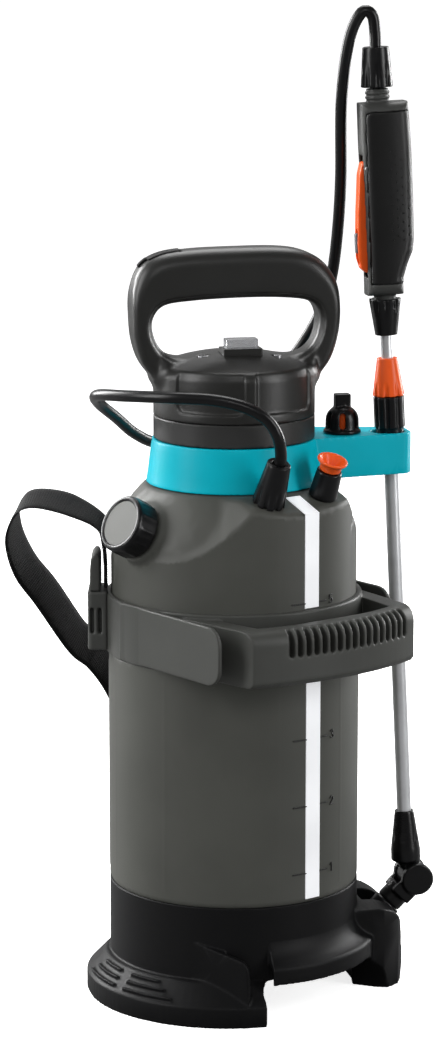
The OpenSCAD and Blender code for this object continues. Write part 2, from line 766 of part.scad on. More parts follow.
module battery_cell() {
    color([0.15, 0.35, 0.65]) translate([-32.5, 0, 502.3]) rotate([0, 90, 0]) {
        cylinder(r = 9, h = 64);
        cylinder(r = 3, h = 65.2);
    }
}

module motor_can() {
    color("silver") translate([16, 0, 380]) difference() {
        cylinder(r = 12, h = 34);
        translate([0, 0, 1.5]) cylinder(r = 11, h = 29);
        translate([0, 0, -eps]) cylinder(r = 2 + run, h = 34);
    }
}

module motor_rotor() {
    color([0.7, 0.45, 0.2]) translate([16, 0, 0]) {
        translate([0, 0, 372]) cylinder(r = 2, h = 40);
        difference() {
            translate([0, 0, 384]) cylinder(r = 9.5, h = 22);
            for (a = [0 : 120 : 240]) rotate([0, 0, a]) translate([9, 0, 383]) cylinder(r = 2, h = 24, $fn = 24);
        }
        // Eccentric that works the pump diaphragm
        translate([1.5, 0, 373]) cylinder(r = 5, h = 4);
    }
}

module air_pump() {
    color([0.25, 0.25, 0.26]) difference() {
        union() {
            translate([16, 0, 365 + gap]) cylinder(r = 17, h = 14.8);
            translate([-16, 0, 365 + gap]) box([34, 26, 12]);
        }
        translate([16, 0, 371.5]) cylinder(r = 8, h = 10);
        translate([16, 0, 360]) cylinder(r = 3.05, h = 9);
    }
}

module check_valve() {
    color([0.8, 0.8, 0.78]) translate([16, 0, 0]) difference() {
        union() {
            translate([0, 0, 350]) cylinder(r = 4, h = 15);
            translate([0, 0, 358]) cylinder(r = 7, h = 3.9);
            translate([0, 0, 360]) cylinder(r = 3, h = 8.5);
        }
        translate([0, 0, 345]) cylinder(r = 1.6, h = 30, $fn = 32);
    }
}

module charge_socket() {
    color("silver") in_flap() difference() {
        translate([-4.5, -1.7, -9.1]) cube([9, 3.4, 7]);
        translate([-3.9, -1.1, -7.5]) cube([7.8, 2.2, 7]);
    }
}

module charge_flap() {
    color([0.13, 0.13, 0.13]) in_flap() {
        translate([-12.9, -6.4, -1.9]) cube([25, 12.8, 1.7]);
        // Hinge barrel at the inner end
        translate([12.1, 6.4, -1.05]) rotate([90, 0, 0]) cylinder(r = 0.85, h = 12.8, $fn = 32);
        translate([-16.5, -2.4, -1.9]) cube([5, 4.8, 1.7]);
        translate([-16.5, -2.4, -1.9]) cube([1.6, 4.8, 5]);
    }
}

// ---------- hose ----------

function nose_point(side, h) = let (
    x = side * fitting_side, y = -fitting_reach - h * sin(nose_tilt),
    z = nose_top(fitting_reach) + h * cos(nose_tilt))
    [x * cos(tank_turn) - y * sin(tank_turn), x * sin(tank_turn) + y * cos(tank_turn), z];
function lance_point(h) = [lance_x - h * sin(lance_tilt), lance_y, collar_top + h * cos(lance_tilt)];

hose_points = [nose_point(-1, 20.3), nose_point(-1, 27), nose_point(-1, 36), [10, -90, 402], [2, -90, 414],
    [-12, -87, 422], [-32, -81, 426.5], [-58, -69, 427], [-82, -43, 425], [-96, -10, 421], [-91, 14, 412],
    [-75, 36, 398], [-58, 55, 383], [-38, 72, 373], [-8, 86, 372], [28, 86, 392], [58, 74, 430],
    [74, 60, 462], [80, 51, 488], [82, 42, 520], [81, 29, 560], [77, 12, 615], [80, 4, 655],
    [88, 2, 673.5], [95, 1, 672], lance_point(273), lance_point(262), lance_point(241)];

module hose() {
    color([0.04, 0.04, 0.05]) round_sweep(curve(hose_points, 4), hose_r, [1, 0, 0]);
}

// ---------- spray grip ----------

module hose_nut() {
    color([0.07, 0.07, 0.08]) in_lance() difference() {
        translate([0, 0, 236]) fluted_cone(11, 9, 27, 9, 1.3);
        translate([0, 0, 235]) cylinder(r = 6.6, h = 4);
        translate([0, 0, 230]) cylinder(r = hose_r + 0.3, h = 40);
    }
}

// Outline of the grip in the lance frame: x forward, z up
module grip_outline(inset) {
    offset(delta = -inset) offset(r = 3, $fn = 32) offset(delta = -3)
        polygon([[-13.2, 95], [11.6, 95], [11.8, 107], [14.8, 115.5], [19.1, 124.5], [20.4, 133], [20.8, 160],
            [20.8, 191], [20.1, 212], [19.6, 226], [-13.4, 226], [-13.6, 196], [-13.2, 180], [-13, 110]]);
}

module grip_slab(inset, t) {
    translate([0, t / 2, 0]) rotate([90, 0, 0]) linear_extrude(t) grip_outline(inset);
}

module cover_zone(g) {
    translate([-8 + g, -20, 103 + g]) cube([60, 40, 117 - 2 * g]);
}

module grip_shell() {
    color([0.27, 0.28, 0.28]) in_lance() difference() {
        union() {
            grip_slab(2.5, 21);
            difference() {
                grip_slab(0, 26);
                cover_zone(0);
            }
            translate([0, 0, 225]) cylinder(r = 7.5, h = 10);
            translate([0, 0, 90]) cylinder(r = 7.5, h = 7);
            for (z = [228.5, 231.5]) translate([0, 0, z]) cylinder(r = 8.2, h = 1.5);
        }
        translate([0, 0, 225]) cylinder(r = 2.5, h = 20);
        translate([0, 0, 80]) cylinder(r = inner_tube_r + gap, h = 46);
        translate([0, 0, 80]) cylinder(r = 2.5, h = 160);
        // Pocket for the trigger
        translate([-30, -5.6, 108]) cube([24, 11.2, 82]);
        // Valve chamber across the grip
        translate([-10, 0, 150]) rotate([0, 90, 0]) cylinder(r = 2 + run, h = 22, $fn = 48);
        translate([3, 0, 150]) rotate([0, 90, 0]) cylinder(r = 4, h = 11, $fn = 48);
        translate([-11, 20, 182]) rotate([90, 0, 0]) cylinder(r = 1.52, h = 40, $fn = 32);
    }
}

module grip_cover() {
    color([0.06, 0.06, 0.06]) in_lance() difference() {
        intersection() {
            grip_slab(0, 26);
            cover_zone(gap);
        }
        grip_slab(2.5 - gap, 21 + 2 * gap);
    }
}

module trigger() {
    color([1, 0.42, 0.12]) in_lance() difference() {
        translate([0, 5, 0]) rotate([90, 0, 0]) linear_extrude(10) offset(r = 1.2, $fn = 24) offset(delta = -1.2)
            polygon([[-18.6, 131], [-18.4, 120.5], [-16.4, 113.6], [-13, 110.5], [-11.6, 111], [-9.4, 150],
                [-8.4, 184], [-11, 186.5], [-13.6, 185.5], [-15.6, 178], [-17.6, 152]]);
        translate([-11, 10, 182]) rotate([90, 0, 0]) cylinder(r = 1.5 + run, h = 20, $fn = 32);
        translate([-20.6, -2.6, 116]) cube([5.4, 5.2, 24]);
    }
}

module trigger_pin() {
    color("silver") in_lance() translate([-11, 9.5, 182]) rotate([90, 0, 0]) cylinder(r = 1.5, h = 19, $fn = 32);
}

module trigger_lock() {
    color([0.4, 0.4, 0.42]) in_lance() {
        translate([-19.4, -2.5, 124.2]) cube([4.1, 5, 13.6]);
    }
}

module valve_spindle() {
    color("silver") in_lance() translate([-9, 0, 150]) rotate([0, 90, 0]) {
        cylinder(r = 2, h = 15.5, $fn = 48);
        translate([0, 0, 13.4]) cylinder(r = 3.4, h = 2, $fn = 48);
    }
}

module valve_spring() {
    color("silver") in_lance() translate([6.5, 0, 150]) rotate([0, 90, 0]) coil(2.9, 0.45, 0.05, 7.4, 4);
}

module tube_nut() {
    color([0.07, 0.07, 0.08]) in_lance() difference() {
        translate([0, 0, 67]) fluted_cone(7.6, 11, 25, 9, 1.6);
        translate([0, 0, 89.9]) cylinder(r = 7.7, h = 4);
        translate([0, 0, 60]) cylinder(r = inner_tube_r + gap, h = 40);
    }
}

module inner_tube() {
    color([0.83, 0.84, 0.86]) in_lance() difference() {
        translate([0, 0, -255]) cylinder(r = inner_tube_r, h = 380);
        translate([0, 0, -260]) cylinder(r = inner_tube_r - 0.8, h = 390);
    }
}

// ---------- lance ----------

module telescope_nut() {
    color([0.98, 0.36, 0.1]) in_lance() difference() {
        translate([0, 0, 25]) fluted_cone(11, 7, 26, 8, 1.6);
        translate([0, 0, 20]) cylinder(r = 7.1, h = 19);
        translate([0, 0, 20]) cylinder(r = inner_tube_r + 0.15, h = 60);
    }
}

module telescope_body() {
    color([0.06, 0.06, 0.07]) in_lance() difference() {
        union() {
            translate([0, 0, -12 + gap]) cylinder(r = 9.6, h = 16);
            translate([0, 0, 3]) fluted_cone(10.6, 10.6, 21.5, 8, 1.2);
            translate([0, 0, 20]) cylinder(r = 7, h = 17);
        }
        translate([0, 0, -13]) cylinder(r = outer_tube_r + 0.02, h = 31);
        translate([0, 0, -13]) cylinder(r = inner_tube_r + run, h = 60);
        translate([0, 0, 33]) cylinder(r = 6, h = 10);
    }
}

module telescope_seal() {
    color("black") in_lance() translate([0, 0, 33.1]) ring(5.9, inner_tube_r + run, 3);
}

module outer_tube() {
    color([0.85, 0.86, 0.88]) in_lance() difference() {
        translate([0, 0, -tube_drop - 10]) cylinder(r = outer_tube_r, h = tube_drop + 27.9);
        translate([0, 0, -tube_drop - 20]) cylinder(r = inner_tube_r + run, h = tube_drop + 50);
    }
}

module nozzle_socket() {
    color([0.08, 0.08, 0.09]) difference() {
        union() {
            in_lance() difference() {
                union() {
                    translate([0, 0, -307]) cylinder(r = 10.35, h = 8);
                    translate([0, 0, -299]) cylinder(r1 = 10.35, r2 = 6.6, h = 29);
                }
                for (a = [0 : 60 : 300]) rotate([0, 0, a + 10]) translate([8.6, -1.6, -292]) cube([4, 3.2, 40]);
            }
            difference() {
                hull() {
                    in_lance() translate([0, 0, -307]) cylinder(r = 8, h = 1, $fn = 32);
                    translate(pivot_at + [0, 7.9, 4]) rotate([90, 0, 0]) cylinder(r = 6, h = 15.8, $fn = 32);
                }
                for (side = [-1, 1]) translate(pivot_at + [0, side * 28, 0]) rotate([90, 0, 0])
                    cylinder(r = 60, h = 40, center = true);
            }
            translate(pivot_at + [0, 7.9, 0]) rotate([90, 0, 0]) cylinder(r = 10.2, h = 15.8);
        }
        translate(pivot_at + [0, 20, 0]) rotate([90, 0, 0]) cylinder(r = 4 + run, h = 40);
        in_lance() translate([0, 0, -tube_drop - 10]) cylinder(r = outer_tube_r + 0.02, h = 40);
        in_lance() translate([0, 0, -304]) cylinder(r = 3, h = 30);
    }
}

module nozzle_elbow() {
    color([0.1, 0.1, 0.11]) {
        difference() {
            union() {
                for (side = [-1, 1])
                    translate(pivot_at + [0, side * 11 + 3, 0]) rotate([90, 0, 0]) cylinder(r = 11.25, h = 6);
                in_nozzle() {
                    for (side = [-1, 1]) translate([-7.5, side * 10 - 2, 0]) cube([15, 4, 18]);
                    translate([0, 0, 11.6]) cylinder(r = 9.3, h = 14.4);
                    cylinder(r = 5, h = 38);
                }
            }
            // Room for the socket's hub
            translate(pivot_at + [0, 8, 0]) rotate([90, 0, 0]) cylinder(r = 11.3, h = 16);
            in_nozzle() translate([0, 0, 12.5]) cylinder(r = 2, h = 40);
        }
        translate(pivot_at + [0, 9, 0]) rotate([90, 0, 0]) cylinder(r = 4, h = 18);
    }
}

module nozzle_tip() {
    color([0.08, 0.08, 0.09]) in_nozzle() difference() {
        union() {
            translate([0, 0, 26.1]) cylinder(r = 10.2, h = 8);
            translate([0, 0, 34.1]) cylinder(r1 = 9.4, r2 = 7.4, h = 11);
        }
        translate([0, 0, 20]) cylinder(r = 5 + run, h = 18.2);
        translate([0, 0, 30]) cylinder(r = 1, h = 30, $fn = 32);
        translate([0, 0, 43.5]) cylinder(r1 = 1, r2 = 3.4, h = 2);
    }
}

// ---------- spare nozzle ----------

module spare_nozzle() {
    color([0.06, 0.06, 0.07]) translate([spare_at[0], spare_at[1], collar_top]) difference() {
        union() {
            translate([0, 0, -18]) cylinder(r = 8, h = 19);
            translate([0, 0, gap]) cylinder(r = 13, h = 2.4);
            rotate_extrude() polygon(concat([[0, 1], [11.6, 1], [11.4, 9]], arc(1.4, 9, 10, 0, 72, 8),
                [[4.4, 20.5], [0, 20.5]]));
            translate([0, 0, 18]) box([10.8, 8, 9.2]);
        }
        translate([0, 0, -20]) cylinder(r = 6.1, h = 35);
        for (a = [18 : 60 : 318]) rotate([0, 0, a]) translate([0, 0, 9]) rotate([0, 90, 0])
            linear_extrude(20) rounded_rect([11, 4], 1.9);
    }
}

module spare_nozzle_insert() {
    color([0.95, 0.28, 0.08]) translate([spare_at[0], spare_at[1], collar_top - 14]) ring(6, 2, 28.5);
}

base_foot();
tank_shell();
level_strip();
holder_collar();
storage_band();
outlet_nut();
outlet_seal();
riser_tube();
riser_filter();
relief_body();
relief_knob();
relief_spring();
relief_seal();
filler_cap();
filler_cap_disc();
filler_seal();
strap();
strap_buckle();
strap_tongue();
neck_seal();
head_plug();
head_housing();
handle_front();
handle_back();
power_button();
button_bezel();
button_spring();
status_light();
circuit_board();
battery_cell();
motor_can();
motor_rotor();
air_pump();
check_valve();
charge_socket();
charge_flap();
cover_screws();
hose();
hose_nut();
grip_shell();
grip_cover();
trigger();
trigger_pin();
trigger_lock();
valve_spindle();
valve_spring();
tube_nut();
inner_tube();
telescope_nut();
telescope_body();
telescope_seal();
outer_tube();
nozzle_socket();
nozzle_elbow();
nozzle_tip();
spare_nozzle();
spare_nozzle_insert();
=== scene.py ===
import json
import math

import bpy
import numpy as np
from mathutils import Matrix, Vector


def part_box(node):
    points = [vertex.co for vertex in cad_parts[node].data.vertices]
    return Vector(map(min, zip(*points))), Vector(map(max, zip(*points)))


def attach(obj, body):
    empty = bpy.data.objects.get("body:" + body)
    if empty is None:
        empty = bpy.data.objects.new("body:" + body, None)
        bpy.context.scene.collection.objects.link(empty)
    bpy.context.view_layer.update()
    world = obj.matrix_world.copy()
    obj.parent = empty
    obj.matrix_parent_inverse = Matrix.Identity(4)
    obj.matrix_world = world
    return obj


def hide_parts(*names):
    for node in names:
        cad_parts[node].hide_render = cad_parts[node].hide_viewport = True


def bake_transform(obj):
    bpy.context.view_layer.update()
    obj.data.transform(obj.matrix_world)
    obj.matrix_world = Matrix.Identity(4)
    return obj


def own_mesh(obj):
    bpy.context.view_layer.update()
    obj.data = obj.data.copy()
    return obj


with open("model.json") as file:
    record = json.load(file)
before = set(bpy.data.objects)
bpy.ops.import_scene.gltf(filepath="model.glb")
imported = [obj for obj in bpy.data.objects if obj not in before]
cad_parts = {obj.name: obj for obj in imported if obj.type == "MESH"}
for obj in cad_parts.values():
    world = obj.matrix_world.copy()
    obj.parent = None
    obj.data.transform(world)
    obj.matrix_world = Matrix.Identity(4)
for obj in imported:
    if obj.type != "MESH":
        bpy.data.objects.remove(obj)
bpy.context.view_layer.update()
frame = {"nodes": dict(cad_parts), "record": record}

import openvdb as vdb
from mathutils import Vector

MM = 0.001
NODES = frame["nodes"]
SLOT_OF = {s["node"]: s["material_slot"] for s in frame["record"]["subparts"]}
BODY_OF = {n: b for b, members in frame["record"]["behaviour"]["bodies"].items() for n in members}

# The tank's own front is turned about Z, away from -Y
TANK_TURN = math.radians(26)
# The hose outlet and the relief valve lean forward
NOSE_TILT = math.radians(22)
NOSE_SIDE = 23.5
NOSE_FRONT = -66.5
NOSE_BASE = 357.5 - 9.5 * math.tan(NOSE_TILT)
# The lance leans out at its lower end, and its frame starts at the top of the holder arm
LANCE_TILT = math.radians(2.7)
LANCE_X, LANCE_Y, LANCE_Z = 110, 1, 388


def mm_box(node):
    """Lowest and highest corner of a CAD node in millimetres, as arrays."""
    low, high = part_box(node)
    return np.array(low) / MM, np.array(high) / MM


def turned(points, angle):
    """Points turned about Z."""
    c, s = math.cos(angle), math.sin(angle)
    points = np.atleast_2d(np.asarray(points, float))
    return points @ np.array([[c, s, 0], [-s, c, 0], [0, 0, 1]])


# ---------- materials ----------


class Nodes:
    """A small builder for a material's or world's node tree."""

    def __init__(self, tree):
        self.tree = tree
        tree.nodes.clear()

    def add(self, kind, **inputs):
        node = self.tree.nodes.new(kind)
        settings = {k: inputs.pop(k) for k in list(inputs) if k in node.bl_rna.properties and k[0].islower()}
        for key, value in settings.items():
            setattr(node, key, value)
        for key, value in inputs.items():
            self.set(node.inputs[key.replace("_", " ")], value)
        return node

    def set(self, socket, value):
        if isinstance(value, bpy.types.NodeSocket):
            self.tree.links.new(value, socket)
        else:
            socket.default_value = value

    def maths(self, operation, a, b):
        node = self.tree.nodes.new("ShaderNodeMath")
        node.operation = operation
        self.set(node.inputs[0], a)
        self.set(node.inputs[1], b)
        return node.outputs[0]

    def mix(self, factor, a, b):
        """Colour a where the factor is 0 and b where it is 1."""
        node = self.tree.nodes.new("ShaderNodeMix")
        node.data_type = "RGBA"
        self.set(node.inputs[0], factor)
        self.set(node.inputs[6], a)
        self.set(node.inputs[7], b)
        return node.outputs[2]

    def ramp(self, value, low, high):
        """0 below low, 1 above high."""
        node = self.tree.nodes.new("ShaderNodeMapRange")
        node.interpolation_type = "SMOOTHSTEP"
        self.set(node.inputs[0], value)
        self.set(node.inputs[1], low)
        self.set(node.inputs[2], high)
        return node.outputs[0]

    def noise(self, where, scale, detail, rough):
        node = self.add("ShaderNodeTexNoise", Vector=where, Scale=scale, Detail=detail, Roughness=rough)
        return node.outputs[0]


def grey(v):
    return (v, v, v, 1.0)


def shaded(colour, factor):
    """The colour made lighter or darker, opaque."""
    return tuple(min(1.0, c * factor) for c in colour[:3]) + (1.0,)


def begin(name):
    """New material: its node builder, its object coordinates and its shader."""
    material = bpy.data.materials.new(name)
    material.use_nodes = True
    n = Nodes(material.node_tree)
    where = n.add("ShaderNodeTexCoord").outputs["Object"]
    shader = n.add("ShaderNodeBsdfPrincipled")
    n.add("ShaderNodeOutputMaterial", Surface=shader.outputs[0])
    return material, n, where, shader


def rounded_edges(n, radius):
    """Normal that rounds sharp edges, and a mask that is 1 along them."""
    soft = n.add("ShaderNodeBevel", samples=4, Radius=radius).outputs[0]
    flat = n.add("ShaderNodeNewGeometry").outputs["Normal"]
    dot = n.add("ShaderNodeVectorMath", operation="DOT_PRODUCT")
    n.set(dot.inputs[0], soft)
    n.set(dot.inputs[1], flat)
    edge = n.ramp(n.maths("SUBTRACT", 1.0, dot.outputs["Value"]), 0.02, 0.25)
    return soft, edge


def plastic(name, colour, rough, grain=0.12, grain_size=0.5, edge_wear_and_highlight=0.25, specular=0.3, painted_glow=0.0):
    """Moulded plastic: fine spark-eroded grain, faint flow marks, edges painted paler as rubbed wear and as
    a painted highlight, dust in the open.
    """
    material, n, where, shader = begin(name)
    soft, edge = rounded_edges(n, 0.0006)
    flow = n.noise(where, 14.0, 3.0, 0.6)
    fine = n.noise(where, 1.0 / (grain_size * MM), 2.0, 0.6)
    rub_and_highlight_patches = n.ramp(n.noise(where, 160.0, 4.0, 0.7), 0.45, 0.75)
    colour = tuple(colour) + (1.0,)
    tint = n.mix(n.ramp(flow, 0.3, 0.7), shaded(colour, 0.93), shaded(colour, 1.07))
    speck = n.mix(n.maths("MULTIPLY", fine, 0.10), tint, shaded(colour, 1.5))
    # Edges painted paler in patches: partly rubbed wear, partly a painted highlight along the edges
    worn_and_highlit_colour = n.mix(n.maths("MULTIPLY", n.maths("MULTIPLY", edge, rub_and_highlight_patches), edge_wear_and_highlight), speck, shaded(colour, 2.2))
    n.set(shader.inputs["Base Color"], worn_and_highlit_colour)
    roughness = n.maths("ADD", n.maths("MULTIPLY", flow, 0.10), rough - 0.05)
    roughness = n.maths("ADD", roughness, n.maths("MULTIPLY", fine, 0.06))
    n.set(shader.inputs["Roughness"], n.maths("SUBTRACT", roughness, n.maths("MULTIPLY", edge, 0.08)))
    n.set(shader.inputs["Specular IOR Level"], specular)
    # Painted light: the part also glows with its own colour, though it is no lamp
    if painted_glow:
        n.set(shader.inputs["Emission Color"], worn_and_highlit_colour)
        n.set(shader.inputs["Emission Strength"], painted_glow)
    bump = n.add("ShaderNodeBump", Strength=grain, Distance=0.0003, Height=fine, Normal=soft)
    n.set(shader.inputs["Normal"], bump.outputs[0])
    return material


def metal(name, colour, rough, brushed=(1.0, 1.0, 0.02), metallic=1.0):
    """Metal with brush lines drawn out along one axis and faint handling marks."""
    material, n, where, shader = begin(name)
    stretch = n.add("ShaderNodeMapping", Vector=where, Scale=brushed).outputs[0]
    lines = n.noise(stretch, 3000.0, 3.0, 0.7)
    cloud = n.noise(where, 60.0, 3.0, 0.6)
    soft, edge = rounded_edges(n, 0.0003)
    tint = n.mix(n.ramp(cloud, 0.3, 0.7), shaded(colour, 0.92), shaded(colour, 1.05))
    n.set(shader.inputs["Base Color"], n.mix(n.maths("MULTIPLY", lines, 0.25), tint, shaded(colour, 0.8)))
    n.set(shader.inputs["Metallic"], metallic)
    n.set(shader.inputs["Roughness"], n.maths("ADD", n.maths("MULTIPLY", lines, 0.15), rough - 0.05))
    n.set(shader.inputs["Anisotropic"], 0.3)
    bump = n.add("ShaderNodeBump", Strength=0.05, Distance=0.0001, Height=lines, Normal=soft)
    n.set(shader.inputs["Normal"], bump.outputs[0])
    return material


def woven(name, colour):
    """Polypropylene webbing: twisted yarns that show as a fine slanted pattern over the sewn-in ribs."""
    material, n, where, shader = begin(name)
    yarn = n.add("ShaderNodeTexWave", Vector=where, Scale=420.0, Distortion=2.5, Detail=2.0,
                 Detail_Scale=3.0, bands_direction="DIAGONAL").outputs["Fac"]
    fuzz = n.noise(where, 2600.0, 3.0, 0.7)
    n.set(shader.inputs["Base Color"], n.mix(yarn, shaded(colour, 0.7), shaded(colour, 1.7)))
    n.set(shader.inputs["Roughness"], n.maths("ADD", n.maths("MULTIPLY", fuzz, 0.2), 0.62))
    n.set(shader.inputs["Specular IOR Level"], 0.2)
    n.set(shader.inputs["Sheen Weight"], 0.05)
    n.set(shader.inputs["Sheen Roughness"], 0.4)
    height = n.maths("ADD", yarn, n.maths("MULTIPLY", fuzz, 0.5))
    bump = n.add("ShaderNodeBump", Strength=0.5, Distance=0.0004, Height=height)
    n.set(shader.inputs["Normal"], bump.outputs[0])
    return material


def glassy(name, colour, rough):
    """Clear moulded plastic with faint flow lines and smudges."""
    material, n, where, shader = begin(name)
    flow = n.noise(where, 90.0, 3.0, 0.6)
    n.set(shader.inputs["Base Color"], n.mix(flow, shaded(colour, 0.97), shaded(colour, 1.0)))
    n.set(shader.inputs["Transmission Weight"], 0.8)
    n.set(shader.inputs["IOR"], 1.49)
    n.set(shader.inputs["Roughness"], n.maths("ADD", n.maths("MULTIPLY", flow, 0.05), rough))
    soft, _ = rounded_edges(n, 0.0005)
    bump = n.add("ShaderNodeBump", Strength=0.08, Distance=0.0003, Height=flow, Normal=soft)
    n.set(shader.inputs["Normal"], bump.outputs[0])
    return material


MATERIALS = {
    "foot_black": plastic("foot_black", (0.0042, 0.0042, 0.0046), 0.46, 0.25, 0.7, 0.35, 0.14),
    "tank_grey": plastic("tank_grey", (0.062, 0.0635, 0.056), 0.44, 0.22, 0.8, 0.2),
    # The white strip glows: painted light that makes it look lit
    "strip_white": plastic("strip_white", (0.80, 0.81, 0.83), 0.3, 0.05, 0.6, 0.0, painted_glow=0.35),
    "holder_teal": plastic("holder_teal", (0.0, 0.40, 0.50), 0.34, 0.10, 0.5, 0.25, 0.12),
    "band_grey": plastic("band_grey", (0.050, 0.0515, 0.047), 0.42, 0.25, 0.6, 0.3),
    "fitting_black": plastic("fitting_black", (0.0045, 0.0045, 0.005), 0.26, 0.08, 0.4, 0.3),
    "head_grey": plastic("head_grey", (0.024, 0.024, 0.0235), 0.38, 0.15, 0.5, 0.3, 0.4),
    "handle_black": plastic("handle_black", (0.0125, 0.0125, 0.0115), 0.36, 0.18, 0.5, 0.3, 0.5),
    "orange": plastic("orange", (0.80, 0.095, 0.010), 0.30, 0.08, 0.5, 0.2),
    "seal_rubber": plastic("seal_rubber", (0.008, 0.008, 0.008), 0.65, 0.3, 0.5, 0.1),
    "hose_rubber": plastic("hose_rubber", (0.0045, 0.0045, 0.005), 0.27, 0.10, 0.7, 0.15),
    "webbing": woven("webbing", (0.0050, 0.0050, 0.0052)),
    "buckle_grey": plastic("buckle_grey", (0.050, 0.0515, 0.048), 0.42, 0.2, 0.5, 0.3),
    "clear": glassy("clear", (0.97, 0.98, 1.0), 0.01),
    "steel": metal("steel", (0.62, 0.62, 0.64), 0.3),
    "aluminium": metal("aluminium", (0.80, 0.81, 0.83), 0.30, metallic=0.68),
    "board_green": plastic("board_green", (0.01, 0.09, 0.035), 0.3, 0.05, 0.5, 0.1),
    "led_green": plastic("led_green", (0.25, 0.8, 0.3), 0.2, 0.02, 0.5, 0.0),
    "cell_blue": plastic("cell_blue", (0.02, 0.08, 0.3), 0.25, 0.03, 0.5, 0.1),
    "copper": metal("copper", (0.72, 0.36, 0.18), 0.3, (1.0, 1.0, 1.0)),
    "grip_grey": plastic("grip_grey", (0.040, 0.041, 0.039), 0.42, 0.2, 0.5, 0.3),
    "grip_soft": plastic("grip_soft", (0.0035, 0.0035, 0.0035), 0.38, 0.3, 0.4, 0.1, 0.35),
    "tube_clear": plastic("tube_clear", (0.6, 0.61, 0.6), 0.3, 0.05, 0.5, 0.0),
    "pump_grey": plastic("pump_grey", (0.03, 0.03, 0.032), 0.5, 0.2, 0.5, 0.2),
    "lock_grey": plastic("lock_grey", (0.11, 0.11, 0.12), 0.45, 0.15, 0.5, 0.3),
}


def paint(piece, slot):
    """Gives a piece the material of a slot and no other."""
    piece.data.materials.clear()
    piece.data.materials.append(MATERIALS[slot])


# ---------- meshes ----------


def make(name, points, faces, slot, body=None, smooth=True):
    """New piece from points in millimetres."""
    mesh = bpy.data.meshes.new(name)
    mesh.from_pydata((np.asarray(points, float) * MM).tolist(), [], [list(map(int, f)) for f in faces])
    mesh.validate()
    mesh.polygons.foreach_set("use_smooth", [smooth] * len(mesh.polygons))
    piece = bpy.data.objects.new(name, mesh)
    bpy.context.scene.collection.objects.link(piece)
    paint(piece, slot)
    if body:
        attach(piece, body)
    return piece


def cad_triangles(node):
    """Points in millimetres and triangles of a CAD node."""
    mesh = NODES[node].data
    points = np.empty(len(mesh.vertices) * 3)
    mesh.vertices.foreach_get("co", points)
    mesh.calc_loop_triangles()
    triangles = np.empty(len(mesh.loop_triangles) * 3, np.int32)
    mesh.loop_triangles.foreach_get("vertices", triangles)
    return points.reshape(-1, 3) / MM, triangles.reshape(-1, 3)


BAND = 4  # width of the known distance band on each side of the surface, in grid steps


class Field:
    """Signed distance on a regular grid, in millimetres, negative inside."""

    def __init__(self, low, step, values):
        self.low, self.step, self.values = np.asarray(low, float), step, values

    @classmethod
    def of_node(cls, node, step):
        points, triangles = cad_triangles(node)
        grid = vdb.FloatGrid.createLevelSetFromPolygons(
            points.astype(np.float32), triangles=triangles.astype(np.uint32),
            transform=vdb.createLinearTransform(voxelSize=step), halfWidth=BAND)
        low, high = grid.evalActiveVoxelBoundingBox()
        values = np.empty([b - a + 1 for a, b in zip(low, high)], np.float32)
        grid.copyToArray(values, ijk=low)
        return cls(np.array(low) * step, step, values)

    @classmethod
    def of_function(cls, function, low, high, step):
        low = np.floor((np.asarray(low, float) - 2 * step) / step) * step
        count = np.ceil((np.asarray(high, float) + 2 * step - low) / step).astype(int) + 1
        empty = cls(low, step, np.zeros(count, np.float32))
        empty.values = function(*empty.axes()).astype(np.float32)
        return empty

    def axes(self):
        """Coordinates that broadcast over the grid."""
        lines = [self.low[k] + self.step * np.arange(n) for k, n in enumerate(self.values.shape)]
        return lines[0][:, None, None], lines[1][None, :, None], lines[2][None, None, :]

    def blurred(self, rounds):
        """Rounds every edge by about the same radius."""
        for _ in range(rounds):
            for axis in range(3):
                v = np.pad(self.values, [(1, 1) if k == axis else (0, 0) for k in range(3)], mode="edge")
                v = np.moveaxis(v, axis, 0)
                self.values = np.moveaxis(0.25 * v[:-2] + 0.5 * v[1:-1] + 0.25 * v[2:], 0, axis)
        return self

    def mesh(self):
        limit = BAND * self.step
        grid = vdb.FloatGrid(limit)
        grid.transform = vdb.createLinearTransform(voxelSize=self.step)
        start = np.round(self.low / self.step).astype(int)
        grid.copyFromArray(np.ascontiguousarray(np.clip(self.values, -limit, limit), np.float32),
                           ijk=tuple(int(v) for v in start))
        points, quads = grid.convertToQuads(0.0)
        a, b, c = points[quads[:, 0]], points[quads[:, 1]], points[quads[:, 2]]
        volume = np.einsum("ij,ij->i", a, np.cross(b, c)).sum()
        return points, quads if volume > 0 else quads[:, ::-1]


def soft_min(a, b, k):
    h = np.clip(0.5 + 0.5 * (b - a) / k, 0, 1)
    return b + (a - b) * h - k * h * (1 - h)


def soft_max(a, b, k):
    return -soft_min(-a, -b, k)


def round_max(a, b, r):
    """Intersection of two fields whose common edge is rounded to radius r."""
    return np.minimum(np.maximum(a, b) + r, 0) + np.hypot(np.maximum(a + r, 0), np.maximum(b + r, 0)) - r


def smooth_step(low, high, v):
    t = np.clip((v - low) / (high - low), 0, 1)
    return t * t * (3 - 2 * t)


def outline_distance(u, v, loop):
    """Signed distance in the plane to a closed outline, negative inside."""
    u, v = np.broadcast_arrays(u, v)
    best = np.full(u.shape, np.inf)
    inside = np.zeros(u.shape, bool)
    for (ax, ay), (bx, by) in zip(loop, np.roll(loop, -1, axis=0)):
        ex, ey = bx - ax, by - ay
        t = np.clip(((u - ax) * ex + (v - ay) * ey) / (ex * ex + ey * ey), 0, 1)
        best = np.minimum(best, np.hypot(u - ax - t * ex, v - ay - t * ey))
        if ay != by:
            inside ^= ((ay > v) != (by > v)) & (u < (bx - ax) * (v - ay) / (by - ay) + ax)
    return np.where(inside, -best, best)


